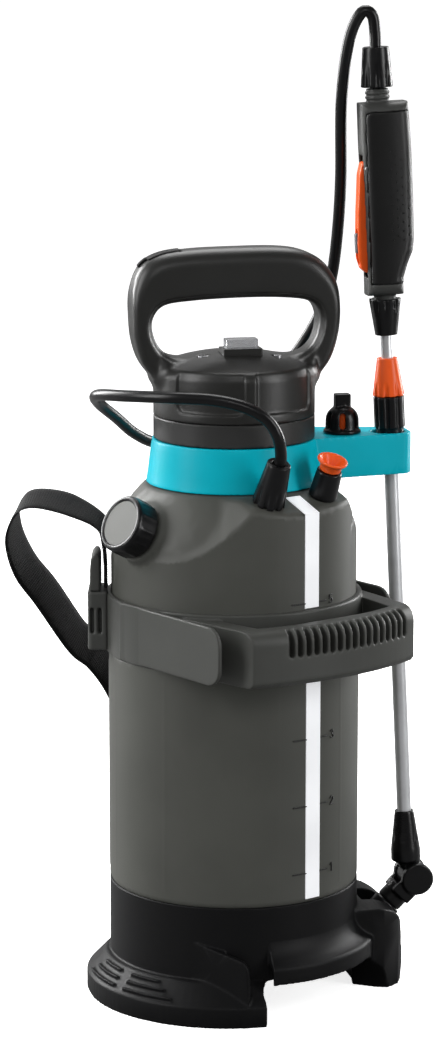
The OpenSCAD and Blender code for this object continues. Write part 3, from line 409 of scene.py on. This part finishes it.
def solid(points, faces, slot):
    """Loose mesh in millimetres, used to cut other pieces."""
    mesh = bpy.data.meshes.new("cutter")
    mesh.from_pydata((np.asarray(points, float) * MM).tolist(), [], [list(map(int, f)) for f in faces])
    mesh.materials.append(MATERIALS[slot])
    cutter = bpy.data.objects.new("cutter", mesh)
    bpy.context.scene.collection.objects.link(cutter)
    return cutter


def lathed(profile, slot, sides=96):
    """Solid of revolution about Z from (radius, height) pairs that start and end on the axis."""
    angles = 2 * math.pi * np.arange(sides) / sides
    points, faces = [(0, 0, profile[0][1])], []
    for r, z in profile[1:-1]:
        points += [(r * math.cos(a), r * math.sin(a), z) for a in angles]
    points.append((0, 0, profile[-1][1]))
    last, rows = len(points) - 1, len(profile) - 2
    for i in range(sides):
        j = (i + 1) % sides
        faces.append((0, 1 + j, 1 + i))
        for k in range(rows - 1):
            a, b = 1 + k * sides, 1 + (k + 1) * sides
            faces.append((a + i, a + j, b + j, b + i))
        faces.append((last, last - sides + i, last - sides + j))
    return solid(points, faces, slot)


def brick(low, high, slot, turn=None, place=(0, 0, 0)):
    """Box between two corners, turned about Y by an angle and then moved."""
    (x0, y0, z0), (x1, y1, z1) = low, high
    corners = np.array([[x, y, z] for x in (x0, x1) for y in (y0, y1) for z in (z0, z1)])
    if turn:
        c, s = math.cos(turn), math.sin(turn)
        corners = corners @ np.array([[c, 0, -s], [0, 1, 0], [s, 0, c]])
    faces = [(0, 1, 3, 2), (4, 6, 7, 5), (0, 4, 5, 1), (2, 3, 7, 6), (0, 2, 6, 4), (1, 5, 7, 3)]
    return solid(corners + np.array(place), faces, slot)


def settle(piece):
    """Applies the piece's modifiers for good."""
    graph = bpy.context.evaluated_depsgraph_get()
    mesh = bpy.data.meshes.new_from_object(piece.evaluated_get(graph))
    piece.modifiers.clear()
    piece.data = mesh


def carve(piece, cutters):
    """Cuts the solids out of a piece for good."""
    for cutter in cutters:
        modifier = piece.modifiers.new("cut", "BOOLEAN")
        modifier.object, modifier.operation, modifier.solver = cutter, "DIFFERENCE", "MANIFOLD"
    settle(piece)
    for cutter in cutters:
        bpy.data.objects.remove(cutter)


def trued(piece, *radii):
    """Puts points near a plain round wall exactly on it, and shades that wall as a true round."""
    mesh = piece.data
    points = np.empty(len(mesh.vertices) * 3)
    normals = np.empty(len(mesh.vertices) * 3)
    mesh.vertices.foreach_get("co", points)
    mesh.vertex_normals.foreach_get("vector", normals)
    points, normals = points.reshape(-1, 3), normals.reshape(-1, 3)
    around = np.hypot(points[:, 0], points[:, 1])
    flat = np.column_stack([points[:, 0], points[:, 1], np.zeros(len(points))])
    outward = flat / around.clip(1e-6)[:, None]
    for radius in radii:
        wall = (np.abs(around - radius * MM) < 0.3 * MM) & (np.einsum("ij,ij->i", outward, normals) > 0.97)
        points[wall, :2] = outward[wall, :2] * radius * MM
        normals[wall] = outward[wall]
    mesh.vertices.foreach_set("co", points.ravel())
    mesh.normals_split_custom_set_from_vertices(normals.tolist())


def thinned(piece, share):
    """Drops faces where the surface is flat or evenly curved."""
    modifier = piece.modifiers.new("thin", "DECIMATE")
    modifier.ratio = share


def moulded(node, step, rounds, share):
    """Stands in for a CAD node with the same form and moulded, rounded edges."""
    points, faces = Field.of_node(node, step).blurred(rounds).mesh()
    piece = make(node + "_moulded", points, faces, SLOT_OF[node], BODY_OF[node])
    thinned(piece, share)
    if node in ROUNDS:
        settle(piece)
        trued(piece, ROUNDS[node])
    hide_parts(node)


# Radius of each moulded node's plain round wall, where it has one
ROUNDS = {"base_foot": 86.0, "storage_band": 88.0, "head_plug": 55.0}
# Node, grid step in millimetres, rounds of edge rounding, share of the faces kept
MOULDED = [("base_foot", 1.0, 0, 0.4), ("storage_band", 0.8, 0, 0.4), ("holder_collar", 0.9, 0, 0.5),
           ("head_plug", 1.25, 0, 0.5), ("strap_buckle", 0.7, 1, 0.5),
           ("trigger", 0.7, 1, 0.5), ("trigger_lock", 0.5, 1, 0.6), ("strap_tongue", 0.8, 1, 0.5),
           ("filler_cap", 0.8, 1, 0.5), ("outlet_nut", 0.6, 0, 0.5), ("hose_nut", 0.6, 0, 0.5),
           ("tube_nut", 0.6, 0, 0.5), ("telescope_nut", 0.6, 0, 0.5), ("telescope_body", 0.6, 0, 0.5),
           ("nozzle_socket", 0.8, 1, 0.5), ("nozzle_elbow", 0.8, 1, 0.5), ("nozzle_tip", 0.6, 1, 0.5),
           ("spare_nozzle", 0.6, 1, 0.5), ("relief_knob", 0.5, 1, 0.4), ("relief_body", 0.6, 1, 0.5)]


def catmull(points, steps):
    """Smooth open curve through the points."""
    p = np.asarray(points, float)
    p = np.vstack([2 * p[0] - p[1], p, 2 * p[-1] - p[-2]])
    t = np.linspace(0, 1, steps, endpoint=False)[:, None]
    parts = []
    for a, b, c, d in zip(p, p[1:], p[2:], p[3:]):
        parts.append(0.5 * (2 * b + (c - a) * t + (2 * a - 5 * b + 4 * c - d) * t ** 2
                            + (3 * b - a - 3 * c + d) * t ** 3))
    return np.vstack(parts + [p[-2:-1]])


def even(points, gap):
    """The same curve with points at even gaps."""
    lengths = np.r_[0, np.cumsum(np.linalg.norm(np.diff(points, axis=0), axis=1))]
    at = np.linspace(0, lengths[-1], max(2, int(round(lengths[-1] / gap)) + 1))
    return np.column_stack([np.interp(at, lengths, points[:, k]) for k in range(points.shape[1])]), at


def unit(v):
    return v / np.linalg.norm(v, axis=-1, keepdims=True)


def tangents(path):
    return unit(np.gradient(path, axis=0))


def skin(rings):
    """Points and faces over rings that all have the same number of points, with flat ends of their own."""
    rings = np.asarray(rings)
    rings = np.concatenate([rings[:1], rings, rings[-1:]])
    m, n = rings.shape[:2]
    faces = [(k * n + i, k * n + (i + 1) % n, (k + 1) * n + (i + 1) % n, (k + 1) * n + i)
             for k in range(1, m - 2) for i in range(n)]
    faces += [tuple(range(n))[::-1], tuple(range((m - 1) * n, m * n))]
    return rings.reshape(-1, 3), faces


def lofted(name, rings, slot, body=None):
    return make(name, *skin(rings), slot, body)


def rings_along(path, radius, sides):
    """Round rings square to the path, without twist."""
    angles = 2 * math.pi * np.arange(sides) / sides
    side, rings = np.array([1.0, 0, 0]), []
    for point, along in zip(path, tangents(path)):
        side = unit(side - side @ along * along)
        up = np.cross(along, side)
        rings.append(point + radius * (np.outer(np.cos(angles), side) + np.outer(np.sin(angles), up)))
    return rings


def rod(a, b, radius, slot):
    """Loose round bar between two points, used to cut other pieces."""
    points, faces = skin(rings_along(np.linspace(a, b, 3), radius, 48))
    spot, order = np.unique(points.round(6), axis=0, return_inverse=True)
    return solid(spot, [[order.ravel()[v] for v in f] for f in faces], slot)


# ---------- hose ----------

HOSE_R = 4.0
HOSE_SIDES = 20


def nose_frame(side, height):
    """Point on the outlet's (side -1) or the relief valve's (side 1) axis."""
    x, y = side * NOSE_SIDE, NOSE_FRONT - height * math.sin(NOSE_TILT)
    z = NOSE_BASE + height * math.cos(NOSE_TILT)
    return turned([[x, y, z]], TANK_TURN)[0]


def lance_frame(height):
    """Point on the lance axis; height 0 is the top of the holder arm."""
    x, z = LANCE_X - height * math.sin(LANCE_TILT), LANCE_Z + height * math.cos(LANCE_TILT)
    return np.array([x, LANCE_Y, z])


HOSE_POINTS = [nose_frame(-1, 20.3), nose_frame(-1, 27), nose_frame(-1, 36), (10, -90, 402), (2, -90, 414),
               (-12, -87, 422), (-32, -81, 426.5), (-58, -69, 427), (-82, -43, 425), (-96, -10, 421),
               (-91, 14, 412), (-75, 36, 398), (-58, 55, 383), (-38, 72, 373), (-8, 86, 372), (28, 86, 392),
               (58, 74, 430), (74, 60, 462), (80, 51, 488), (82, 42, 520), (81, 29, 560), (77, 12, 615),
               (80, 4, 655), (88, 2, 673.5), (95, 1, 672),
               lance_frame(273), lance_frame(262), lance_frame(241)]


def hose():
    """Two lengths of one hose, split where it first rises above 542 mm beside the lance.
    Two lengths of one hose, because each can bend across only one joint.
    """
    path, _ = even(catmull(HOSE_POINTS, 12), 2.0)
    rings = rings_along(path, HOSE_R, HOSE_SIDES)
    split = int(np.argmax((path[:, 2] > 542) & (path[:, 0] > 60)))
    lower = lofted("hose_lower", rings[:split + 1], "hose_rubber")
    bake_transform(lower)
    upper = lofted("hose_upper", rings[split:], "hose_rubber")
    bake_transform(upper)
    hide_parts("hose")


# ---------- strap ----------

# Middle of the webbing and the direction across it, from the clip to the foot
STRAP_ROWS = [[(-86.2, 18.3, 285), (-0.21, -0.98, 0)],
              [(-86.4, 18.4, 300), (-0.21, -0.98, 0)],
              [(-87.6, 18.7, 315), (-0.23, -0.97, -0.05)],
              [(-89.9, 20.6, 328.4), (-0.49, -0.87, -0.09)],
              [(-108.6, 26, 339.3), (-0.39, -0.84, -0.36)],
              [(-125.4, 33, 343.2), (-0.27, -0.89, -0.36)],
              [(-136.8, 38, 342), (-0.18, -0.95, -0.25)],
              [(-142.8, 42, 334.9), (-0.18, -0.98, 0.08)],
              [(-145, 45, 325.6), (-0.45, -0.89, -0.01)],
              [(-143.7, 48, 312.1), (-0.64, -0.76, -0.1)],
              [(-135.6, 52, 292.6), (-0.71, -0.61, -0.35)],
              [(-120.8, 57, 272.5), (-0.73, -0.55, -0.41)],
              [(-98.2, 66, 238.6), (-0.73, -0.57, -0.38)],
              [(-82.9, 77, 224.3), (-0.67, -0.52, -0.53)],
              [(-67, 88.5, 203.5), (-0.78, -0.45, -0.42)],
              [(-51.5, 95.5, 173), (-0.88, -0.36, -0.26)],
              [(-36.5, 98.5, 139), (-0.94, -0.28, -0.15)],
              [(-22, 98.5, 105), (-0.98, -0.18, -0.07)],
              [(-13.5, 96.5, 80), (-0.99, -0.1, -0.02)],
              [(-10, 94.6, 62.6), (-0.99, -0.1, 0)]]
STRAP_WIDTH = 26.0
STRAP_THICK = 1.5
RIB_PITCH = 1.7
RIB_HEIGHT = 0.42


def strap():
    """Webbing with ribs across it, a rolled selvedge and a slight cupping along its length."""
    rows = np.array([list(p) + list(d) for p, d in STRAP_ROWS], float)
    path, along = even(catmull(rows, 12), RIB_PITCH / 4)
    mid, across = path[:, :3], path[:, 3:]
    t = tangents(mid)
    across = unit(across - np.einsum("ij,ij->i", across, t)[:, None] * t)
    face = np.cross(t, across)
    rib = np.abs(np.cos(math.pi * along / RIB_PITCH)) ** 0.7
    ups = np.linspace(-1, 1, 9)
    rings = []
    for k in range(len(mid)):
        half = STRAP_WIDTH / 2 * (1 + 0.012 * rib[k])
        edge = STRAP_THICK / 2 * (1 - 0.55 * np.abs(ups) ** 8)
        thick = edge + RIB_HEIGHT * rib[k] * (1 - np.abs(ups) ** 6)
        bow = 0.5 * ups ** 2
        top = mid[k] + np.outer(ups * half, across[k]) + np.outer(thick + bow, face[k])
        low = mid[k] + np.outer(ups * half, across[k]) + np.outer(bow - thick, face[k])
        rings.append(np.vstack([top, low[::-1]]))
    piece = lofted("strap_webbing", rings, "webbing")
    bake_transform(piece)
    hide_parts("strap")


# ---------- tank ----------

# Radii of the drum's wall, below and above the storage band
TANK_ROUNDS = (86.0, 84.0)
OUTLET_BORE = 4.3
RELIEF_BORE = 6.0


def tank():
    """Blow-moulded body: the CAD form filled, rounded along its edges and hollowed out again."""
    field = Field.of_node("tank_shell", 2.0)
    inside = field.values < 0
    between = np.ones_like(inside)
    for axis in (0, 1):
        between &= np.maximum.accumulate(inside, axis)
        between &= np.flip(np.maximum.accumulate(np.flip(inside, axis), axis), axis)
    field.values = np.where(between & ~inside, -2.0 * BAND, field.values)
    # Walls that are plain rounds take their true radius, so the mesh's flats don't show
    x, y, _ = field.axes()
    for radius in TANK_ROUNDS:
        true = np.hypot(x, y) - radius
        field.values = np.where(np.abs(field.values - true) < 0.3, true, field.values)
    points, faces = field.blurred(1).mesh()
    piece = make("tank_body", points, faces, "tank_grey", "tank")
    arc = [(13.5 + 68 * math.cos(a), 305 + 68 * math.sin(a)) for a in np.radians(np.linspace(0, 48, 9))]
    cavity = [(0, 56), (66, 56), (76, 62), (81, 74), (83, 90), (83, 236), (81.5, 242), *arc,
              (49.5, 352), (49.5, 392), (0, 392)]
    carve(piece, [lathed(cavity, "tank_grey"),
                  rod(nose_frame(-1, -12), nose_frame(-1, 20), OUTLET_BORE, "tank_grey"),
                  rod(nose_frame(1, -12), nose_frame(1, 10), RELIEF_BORE, "tank_grey")])
    trued(piece, *TANK_ROUNDS)
    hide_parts("tank_shell")


# Strokes of the embossed figures, across and up
FIGURES = {"1": [[(0.2, 1.3), (0.6, 1.6), (0.6, 0)]],
           "2": [[(0, 1.3), (0.3, 1.6), (0.8, 1.5), (0.9, 1.1), (0, 0), (0.95, 0)]],
           "3": [[(0, 1.4), (0.5, 1.6), (0.9, 1.25), (0.5, 0.85), (0.95, 0.4), (0.5, 0), (0, 0.2)]],
           "5": [[(0.9, 1.6), (0.1, 1.6), (0, 0.9), (0.6, 1.0), (0.95, 0.5), (0.5, 0), (0, 0.15)]]}
# Height, radius of the wall and figure of each litre mark
LEVELS = [(100.0, 86.0, "1"), (146.8, 86.0, "2"), (193.2, 86.0, "3"), (286.3, 84.0, "5")]


def level_figures():
    """Litre marks and figures moulded on to the tank beside the window strip, in a darker grey as painted
    shade for their relief.
    """
    points, faces = [], []

    def rib(z, r, a, b, half):
        """Raised bar between two (arc, height) points, all in millimetres on the tank wall."""
        a, b = np.array(a, float), np.array(b, float)
        along = unit(b - a)
        side = np.array([-along[1], along[0]]) * half
        start = len(points)
        for end in (a - along * half, b + along * half):
            for lift, k in ((-0.5, 1), (0.8, 0.8), (0.8, -0.8), (-0.5, -1)):
                u, v = end + side * k
                angle = -math.pi / 2 + TANK_TURN + u / r
                points.append(((r + lift) * math.cos(angle), (r + lift) * math.sin(angle), z + v))
        faces.extend([[start + i for i in f] for f in
                      [(0, 1, 2, 3), (7, 6, 5, 4), (0, 4, 5, 1), (1, 5, 6, 2), (2, 6, 7, 3), (3, 7, 4, 0)]])

    for z, r, figure in LEVELS:
        for u in range(6):
            rib(z, r, (-15.4 + u * 1.6, 0), (-13.8 + u * 1.6, 0), 0.45)
            rib(z, r, (6.3 + u * 1.1, 0), (7.4 + u * 1.1, 0), 0.45)
        for stroke in FIGURES[figure]:
            for a, b in zip(stroke, stroke[1:]):
                rib(z - 2.4, r, (16.5 + a[0] * 3.2, a[1] * 3.4), (16.5 + b[0] * 3.2, b[1] * 3.4), 0.38)
    # The marks are of the tank's own plastic; the darker head_grey is painted shade that stands in for the
    # shading of their raised edges
    make("level_figures", points, faces, "head_grey", "tank", smooth=False)


# ---------- spray grip ----------

# Outline of the grip in the lance frame, across and up
GRIP = [(-13.2, 95), (11.6, 95), (11.8, 107), (14.8, 115.5), (19.1, 124.5), (20.4, 133), (20.8, 160),
        (20.8, 191), (20.1, 212), (19.6, 226), (-13.4, 226), (-13.6, 196), (-13.2, 180), (-13, 110)]
# How fast the grip's faces fall away from their middle line, and where that line is
GRIP_CROWN = 0.007
GRIP_MIDDLE = 3.5
DOT_COLUMNS, DOT_ROWS, DOT_SIDES = 4, 11, 8
DOT_GAP, DOT_PITCH = 3.9, 6.0


def lance_coordinates(x, y, z):
    """From the object's frame to the lance frame."""
    c, s = math.cos(LANCE_TILT), math.sin(LANCE_TILT)
    x, z = x - LANCE_X, z - LANCE_Z
    return x * c + z * s, y - LANCE_Y, -x * s + z * c


def on_lance(points):
    """From the lance frame to the object's frame."""
    c, s = math.cos(LANCE_TILT), math.sin(LANCE_TILT)
    x, y, z = np.asarray(points, float).T
    return np.column_stack([LANCE_X + x * c - z * s, LANCE_Y + y, LANCE_Z + x * s + z * c])


def grip_fields(x, y, z):
    """Shell and soft cover of the grip, in the lance frame."""
    outline = outline_distance(x, z, GRIP) + 0.8
    form = round_max(outline, np.abs(y) - 12.8 + GRIP_CROWN * (x - GRIP_MIDDLE) ** 2, 6.5) - 0.8
    zone = round_max(np.maximum(-11 - x, 103 - z), z - 220, 4)
    pocket = np.maximum(np.maximum(x + 6, np.abs(y) - 5.7), np.maximum(107.5 - z, z - 190.5))
    around = np.hypot(x, y)
    neck = np.minimum(np.maximum(around - 7.5, np.maximum(224 - z, z - 235)),
                      np.maximum(around - 7.5, np.maximum(90 - z, z - 98)))
    rings = np.minimum(np.abs(z - 229.2), np.abs(z - 232.4)) - 0.9
    neck = np.minimum(neck, np.maximum(around - 8.4, rings))
    bore = around - 4.1
    shell = soft_min(np.minimum(np.maximum(form, -zone), form + 2.6), neck, 1.5)
    shell = np.maximum(np.maximum(shell, -pocket), -bore)
    cover = np.maximum(np.maximum(form - 0.3, zone + 0.15), np.maximum(-(form + 2.4), -pocket))
    return shell, cover


def spray_grip():
    """Shell and soft cover, with rows of small domes on the cover."""
    low, high = mm_box("grip_shell")
    for index, (node, name) in enumerate([("grip_shell", "grip_body"), ("grip_cover", "grip_soft_cover")]):
        field = Field.of_function(lambda x, y, z: grip_fields(*lance_coordinates(x, y, z))[index],
                                  low - 2, high + 2, 0.8)
        points, faces = field.mesh()
        piece = make(name, points, faces, SLOT_OF[node], "spray_grip")
        thinned(piece, 0.5)
        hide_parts(node)
    # Rows of small domes on both faces of the soft cover, larger towards the bottom
    dots, faces = [], []
    for face in (-1, 1):
        for column in range(DOT_COLUMNS):
            for row in range(DOT_ROWS - column % 2):
                x, z = 4.0 + column * DOT_GAP, 133 + (row + 0.5 * (column % 2)) * DOT_PITCH
                r = (1.15 - 0.065 * row) * (1.0 if column else 0.8)
                start = len(dots)
                drop = GRIP_CROWN * (x - GRIP_MIDDLE) ** 2 + max(0.0, x - 14.3) ** 2 * 0.19
                for ring, lift in ((1.0, -0.2), (0.8, 0.35), (0.4, 0.6)):
                    for k in range(DOT_SIDES):
                        a = 2 * math.pi / DOT_SIDES * k
                        dots.append((x + r * ring * math.cos(a), face * (13.85 + lift * r - drop),
                                     z + r * ring * math.sin(a)))
                for ring in range(2):
                    for k in range(DOT_SIDES):
                        a = start + ring * DOT_SIDES + k
                        b = start + ring * DOT_SIDES + (k + 1) % DOT_SIDES
                        quad = (a, b, b + DOT_SIDES, a + DOT_SIDES)
                        faces.append(quad if face < 0 else (quad[0], quad[3], quad[2], quad[1]))
                faces.append([start + 2 * DOT_SIDES + k for k in range(DOT_SIDES)][::-face])
                faces.append([start + k for k in range(DOT_SIDES)][::face])
    make("grip_dots", on_lance(dots), faces, "grip_soft", "spray_grip")


# ---------- pump head ----------


def closed_curve(points, steps=8):
    """Smooth closed curve through the points."""
    p = np.asarray(points, float)
    return catmull(np.vstack([p[-2:], p, p[:2]]), steps)[2 * steps:(2 + len(p)) * steps]


# Outlines of the handle, across and up
HANDLE_OUTSIDE = closed_curve([(-50, 425), (-59, 433), (-66, 443), (-70.3, 457), (-71.5, 473), (-71, 491),
                               (-65.5, 506), (-52, 514.2), (-30, 517.2), (0, 518), (28, 517.8), (46, 515),
                               (60, 507.5), (69, 494.5), (71.4, 478), (70.8, 460), (66, 443), (58.5, 432),
                               (50, 425), (0, 415)])
HANDLE_OPENING = closed_curve([(-57, 460), (-57.6, 471), (-50, 480), (-30, 482.8), (0, 484), (30, 483.6),
                               (50, 480.8), (57, 472.5), (56.5, 460), (51.5, 450), (42, 444), (30, 440),
                               (0, 436), (-30, 440), (-42, 444), (-51.5, 450)])
DOME_RADIUS = 55
DOME_TOP = 448
DOME_SHOULDER = 5
# First and last angle of each pressed-in panel, in degrees, and how deep it is
PANELS = [(-147, -94), (-86, -33), (34, 87), (95, 148)]
PANEL_DEPTH = 1.7
SCREWS = [(-24, -10), (27, -15)]
SCREW_RECESS = 3.7
BUTTON = (2, -12)
BUTTON_HALF = (13.6, 8.6)
# Slope and middle of the seat for the charging flap, on the handle's left shoulder
FLAP_TILT = math.radians(12)
FLAP_AT = (-50, 515)


def dome(x, y, z, inset=0.0):
    """Crowned cover with a rounded shoulder, or the hollow at an inset inside it."""
    r = np.hypot(x, y)
    crown = (z - (DOME_TOP - inset - 8.4 * (r / 48.3) ** 2)) * 0.95
    return round_max(r - (DOME_RADIUS - inset), crown, DOME_SHOULDER - inset)


def pump_cover(x, y, z):
    """Dome and carrying handle in one soft moulding."""
    cover = dome(x, y, z)
    # Pressed-in panels with rounded lower corners, running out at the shoulder
    arc = np.degrees(np.arctan2(y, x))
    for a0, a1 in PANELS:
        off = np.abs((arc - (a0 + a1) / 2 + 180) % 360 - 180)
        u = off * math.radians(1) * DOME_RADIUS - (a1 - a0) / 2 * 0.96
        window = round_max(u, 410.5 - z, 7)
        cover = cover + PANEL_DEPTH * (1 - smooth_step(-1.1, 0.5, window)) * (1 - smooth_step(434, 439, z))
    outside = outline_distance(x, z, HANDLE_OUTSIDE)
    opening = outline_distance(x, z, HANDLE_OPENING)
    outline = soft_max(outside, -opening, 3)
    depth = 15 - 1.9 * (1 - smooth_step(2.6, 3.8, opening)) - 1.5 * (1 - smooth_step(455, 480, z))
    edge = 5.2 + 5.8 * smooth_step(478, 505, z)
    handle = round_max(outline, np.abs(y) - depth, edge)
    # Ribs down the legs end in small nubs on the shoulder
    for side in (-1, 1):
        for front in (-1, 1):
            nub = np.sqrt((x - side * 51.5) ** 2 + (y - front * 12.8) ** 2 + ((z - 439.5) * 0.7) ** 2) - 2.8
            handle = soft_min(handle, nub, 3)
    both = soft_min(cover, handle, 7)
    # Hollow dome, with bosses for the screws
    hollow = dome(x, y, z, 4.6)
    for cx, cy in SCREWS:
        boss = np.hypot(x - cx, y - cy)
        hollow = np.maximum(hollow, np.maximum(5 - boss, 431 - z))
        recess = np.maximum(np.maximum(boss - SCREW_RECESS, 443.5 - z), z - 456)
        both = soft_max(both, -recess, 0.8)
    return np.maximum(np.maximum(both, -hollow), 404.4 - z)


def pump_head():
    """Cover and handle, with seats cut for the button, the charging flap and its socket."""
    field = Field.of_function(pump_cover, (-76, -60, 402), (76, 60, 524), 1.1)
    points, faces = field.mesh()
    piece = make("pump_cover", points, faces, "handle_black", "pump_head")
    tilt, at = -FLAP_TILT, (FLAP_AT[0], 0, FLAP_AT[1])
    carve(piece, [
        brick((BUTTON[0] - BUTTON_HALF[0], BUTTON[1] - BUTTON_HALF[1], 436),
              (BUTTON[0] + BUTTON_HALF[0], BUTTON[1] + BUTTON_HALF[1], 460), "handle_black"),
        # Pocket for the charging flap and its socket
        brick((-13, -6.6, -2), (13.1, 6.6, 6), "handle_black", tilt, at),
        brick((-22, -2.7, -2.05), (-8, 2.7, 6), "handle_black", tilt, at),
        brick((-4.6, -1.8, -9.2), (4.6, 1.8, -1), "handle_black", tilt, at),
        # Mould mark on top of the handle
        brick((-0.7, -2.4, -0.6), (0.7, 1.4, 5), "handle_black", math.radians(40), (12, -9, 518)),
        brick((-0.7, -1.4, -0.6), (0.7, 1.0, 5), "handle_black", math.radians(-40), (14.5, -9, 518)),
    ])
    for node in ("head_housing", "handle_front", "handle_back"):
        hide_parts(node)


# ---------- springs ----------


def springs():
    """Coils of wire along each spring's axis, on the body of its node."""
    button = np.array([*BUTTON, 0.0])
    # Node, lower and upper end, coil radius, wire radius, turns, joint, its travel,
    # and whether the upper end is the one that stays put
    rows = [("relief_spring", nose_frame(1, -1.95), nose_frame(1, 15.9),
             4.0, 0.55, 7, "relief_lift", 5.0, True),
            ("button_spring", button + (0, 0, 435.7), button + (0, 0, 449.9),
             3.6, 0.4, 5, "button_press", 2.5, False),
            ("valve_spring", *on_lance([(6.55, 0, 150), (13.9, 0, 150)]),
             2.9, 0.45, 4, "trigger_squeeze", 2.5, True)]
    for node, low, high, radius, wire, turns, joint, travel, upper_stays in rows:
        axis, length = unit(high - low), np.linalg.norm(high - low)
        side = unit(np.cross(axis, (0, 1, 0)))
        turn = np.linspace(0, 2 * math.pi * turns, turns * 24 + 1)
        rise = wire + (length - 2 * wire) * turn / turn[-1]
        path = low + np.outer(rise, axis) + radius * (np.outer(np.cos(turn), side)
                                                      + np.outer(np.sin(turn), np.cross(axis, side)))
        piece = lofted(node + "_coil", rings_along(path, wire, 10), SLOT_OF[node], BODY_OF[node])
        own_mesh(piece)
        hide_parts(node)


# ---------- charging flap ----------


def flap_form(x, y, z):
    """Lid that follows the handle's curve, with a lip that reaches over its end."""
    c, s = math.cos(FLAP_TILT), math.sin(FLAP_TILT)
    u = (x - FLAP_AT[0]) * c + (z - FLAP_AT[1]) * s
    w = -(x - FLAP_AT[0]) * s + (z - FLAP_AT[1]) * c
    outside = outline_distance(x, z, HANDLE_OUTSIDE)
    sides = round_max(np.abs(u - 0.1) - 12.6, np.abs(y) - 6.2, 1.5)
    lid = np.maximum(round_max(outside - 0.7, sides, 0.7), -1.8 - w)
    ring = np.abs(np.hypot(u - 1, y) - 3.6) - 0.4
    lid = np.maximum(lid, -np.maximum(ring, 0.1 - outside))
    lip = np.maximum(round_max(outside - 1.7, np.abs(y) - 2.4, 0.6), 0.2 - outside)
    lip = np.maximum(lip, np.abs(u + 14.6) - 3.4)
    return soft_min(lid, lip, 1.0)


def charging_flap():
    """Rubber lid over the charging socket."""
    points, faces = Field.of_function(flap_form, (-71, -8, 500), (-35, 8, 523), 0.45).mesh()
    piece = make("flap_lid", points, faces, "seal_rubber", BODY_OF["charge_flap"])
    thinned(piece, 0.6)
    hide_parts("charge_flap")


# ---------- stage, light and camera ----------


def stage():
    """Plain pale floor."""
    mesh = bpy.data.meshes.new("floor")
    half = 40.0
    corners = [(-half, -half, 0), (half, -half, 0), (half, half, 0), (-half, half, 0)]
    mesh.from_pydata(corners, [], [(0, 1, 2, 3)])
    floor = bpy.data.objects.new("floor", mesh)
    bpy.context.scene.collection.objects.link(floor)
    material, n, where, shader = begin("floor_paint")
    cloud = n.noise(where, 3.0, 3.0, 0.6)
    seen = n.add("ShaderNodeLightPath").outputs["Is Camera Ray"]
    # Lit from below where the camera sees it, like a light table, and darker in the object's reflections
    n.set(shader.inputs["Base Color"], n.mix(seen, grey(0.14), n.mix(cloud, grey(0.88), grey(0.92))))
    n.set(shader.inputs["Roughness"], 0.8)
    n.set(shader.inputs["Emission Color"], grey(1.0))
    n.set(shader.inputs["Emission Strength"], n.maths("MULTIPLY", seen, 0.8))
    floor.data.materials.append(material)


# Name, place, the height on the Z axis it aims at, width and height, power in watts
LAMPS = [("key", (-2.1, -0.4, 1.2), 0.3, (0.7, 1.7), 34),
         ("rim_left", (-1.5, 1.6, 1.1), 0.35, (0.6, 1.4), 74),
         ("fill_right", (1.7, -1.4, 0.9), 0.3, (0.5, 1.6), 26),
         ("rim_right", (1.94, 1.03, 0.8), 0.3, (0.4, 1.4), 42),
         ("front", (-0.3, -2.6, 1.9), 0.3, (0.7, 0.7), 9),
         ("top", (0.3, 1.0, 2.3), 0.4, (1.3, 1.3), 34)]


def area_light(name, place, aim, size, power):
    """Softbox that points at the object."""
    light = bpy.data.lights.new(name, "AREA")
    light.shape = "RECTANGLE"
    light.size, light.size_y = size
    light.energy = power
    lamp = bpy.data.objects.new(name, light)
    lamp.location = place
    lamp.rotation_euler = (Vector((0, 0, aim)) - Vector(place)).to_track_quat("-Z", "Y").to_euler()
    bpy.context.scene.collection.objects.link(lamp)


def sky():
    """Studio dome: white to the camera, bright on the left and dark at the right front."""
    world = bpy.data.worlds.new("studio")
    bpy.context.scene.world = world
    world.use_nodes = True
    n = Nodes(world.node_tree)
    where = n.add("ShaderNodeTexCoord").outputs["Generated"]
    split = n.add("ShaderNodeSeparateXYZ", Vector=where)
    seen = n.add("ShaderNodeLightPath")
    left = n.ramp(n.maths("MULTIPLY", split.outputs["X"], -1.0), -0.3, 0.9)
    behind = n.ramp(split.outputs["Y"], 0.1, 0.9)
    diffuse = n.maths("ADD", n.maths("MULTIPLY", left, 0.50), 0.20)
    sheen = n.maths("ADD", n.maths("MULTIPLY", left, 0.30), n.maths("MULTIPLY", behind, 0.30))
    sheen = n.maths("ADD", sheen, 0.04)
    strength = n.mix(seen.outputs["Is Glossy Ray"], diffuse, sheen)
    strength = n.mix(seen.outputs["Is Camera Ray"], strength, grey(1.05))
    back = n.add("ShaderNodeBackground", Color=(1, 1, 1, 1), Strength=strength)
    n.add("ShaderNodeOutputWorld", Surface=back.outputs[0])


CAMERA_AT = (-0.5138, -2.3665, 0.7904)
HEADING = math.radians(12)
PITCH = math.radians(10.74)
LENS, SENSOR = 124.98, 36.0


def camera():
    """A long lens from the front left, a little above."""
    data = bpy.data.cameras.new("camera")
    data.lens, data.sensor_width = LENS, SENSOR
    data.clip_start, data.clip_end = 0.1, 200.0
    view = bpy.data.objects.new("camera", data)
    view.location = CAMERA_AT
    level = math.cos(PITCH)
    look = Vector((math.sin(HEADING) * level, math.cos(HEADING) * level, -math.sin(PITCH)))
    view.rotation_euler = look.to_track_quat("-Z", "Y").to_euler()
    bpy.context.scene.collection.objects.link(view)
    bpy.context.scene.camera = view


tank()
level_figures()
pump_head()
charging_flap()
springs()
spray_grip()
for row in MOULDED:
    moulded(*row)
hose()
strap()
for node, item in NODES.items():
    paint(item, SLOT_OF[node])
stage()
sky()
for lamp_row in LAMPS:
    area_light(*lamp_row)
camera()
bpy.context.scene.view_settings.view_transform = "Standard"
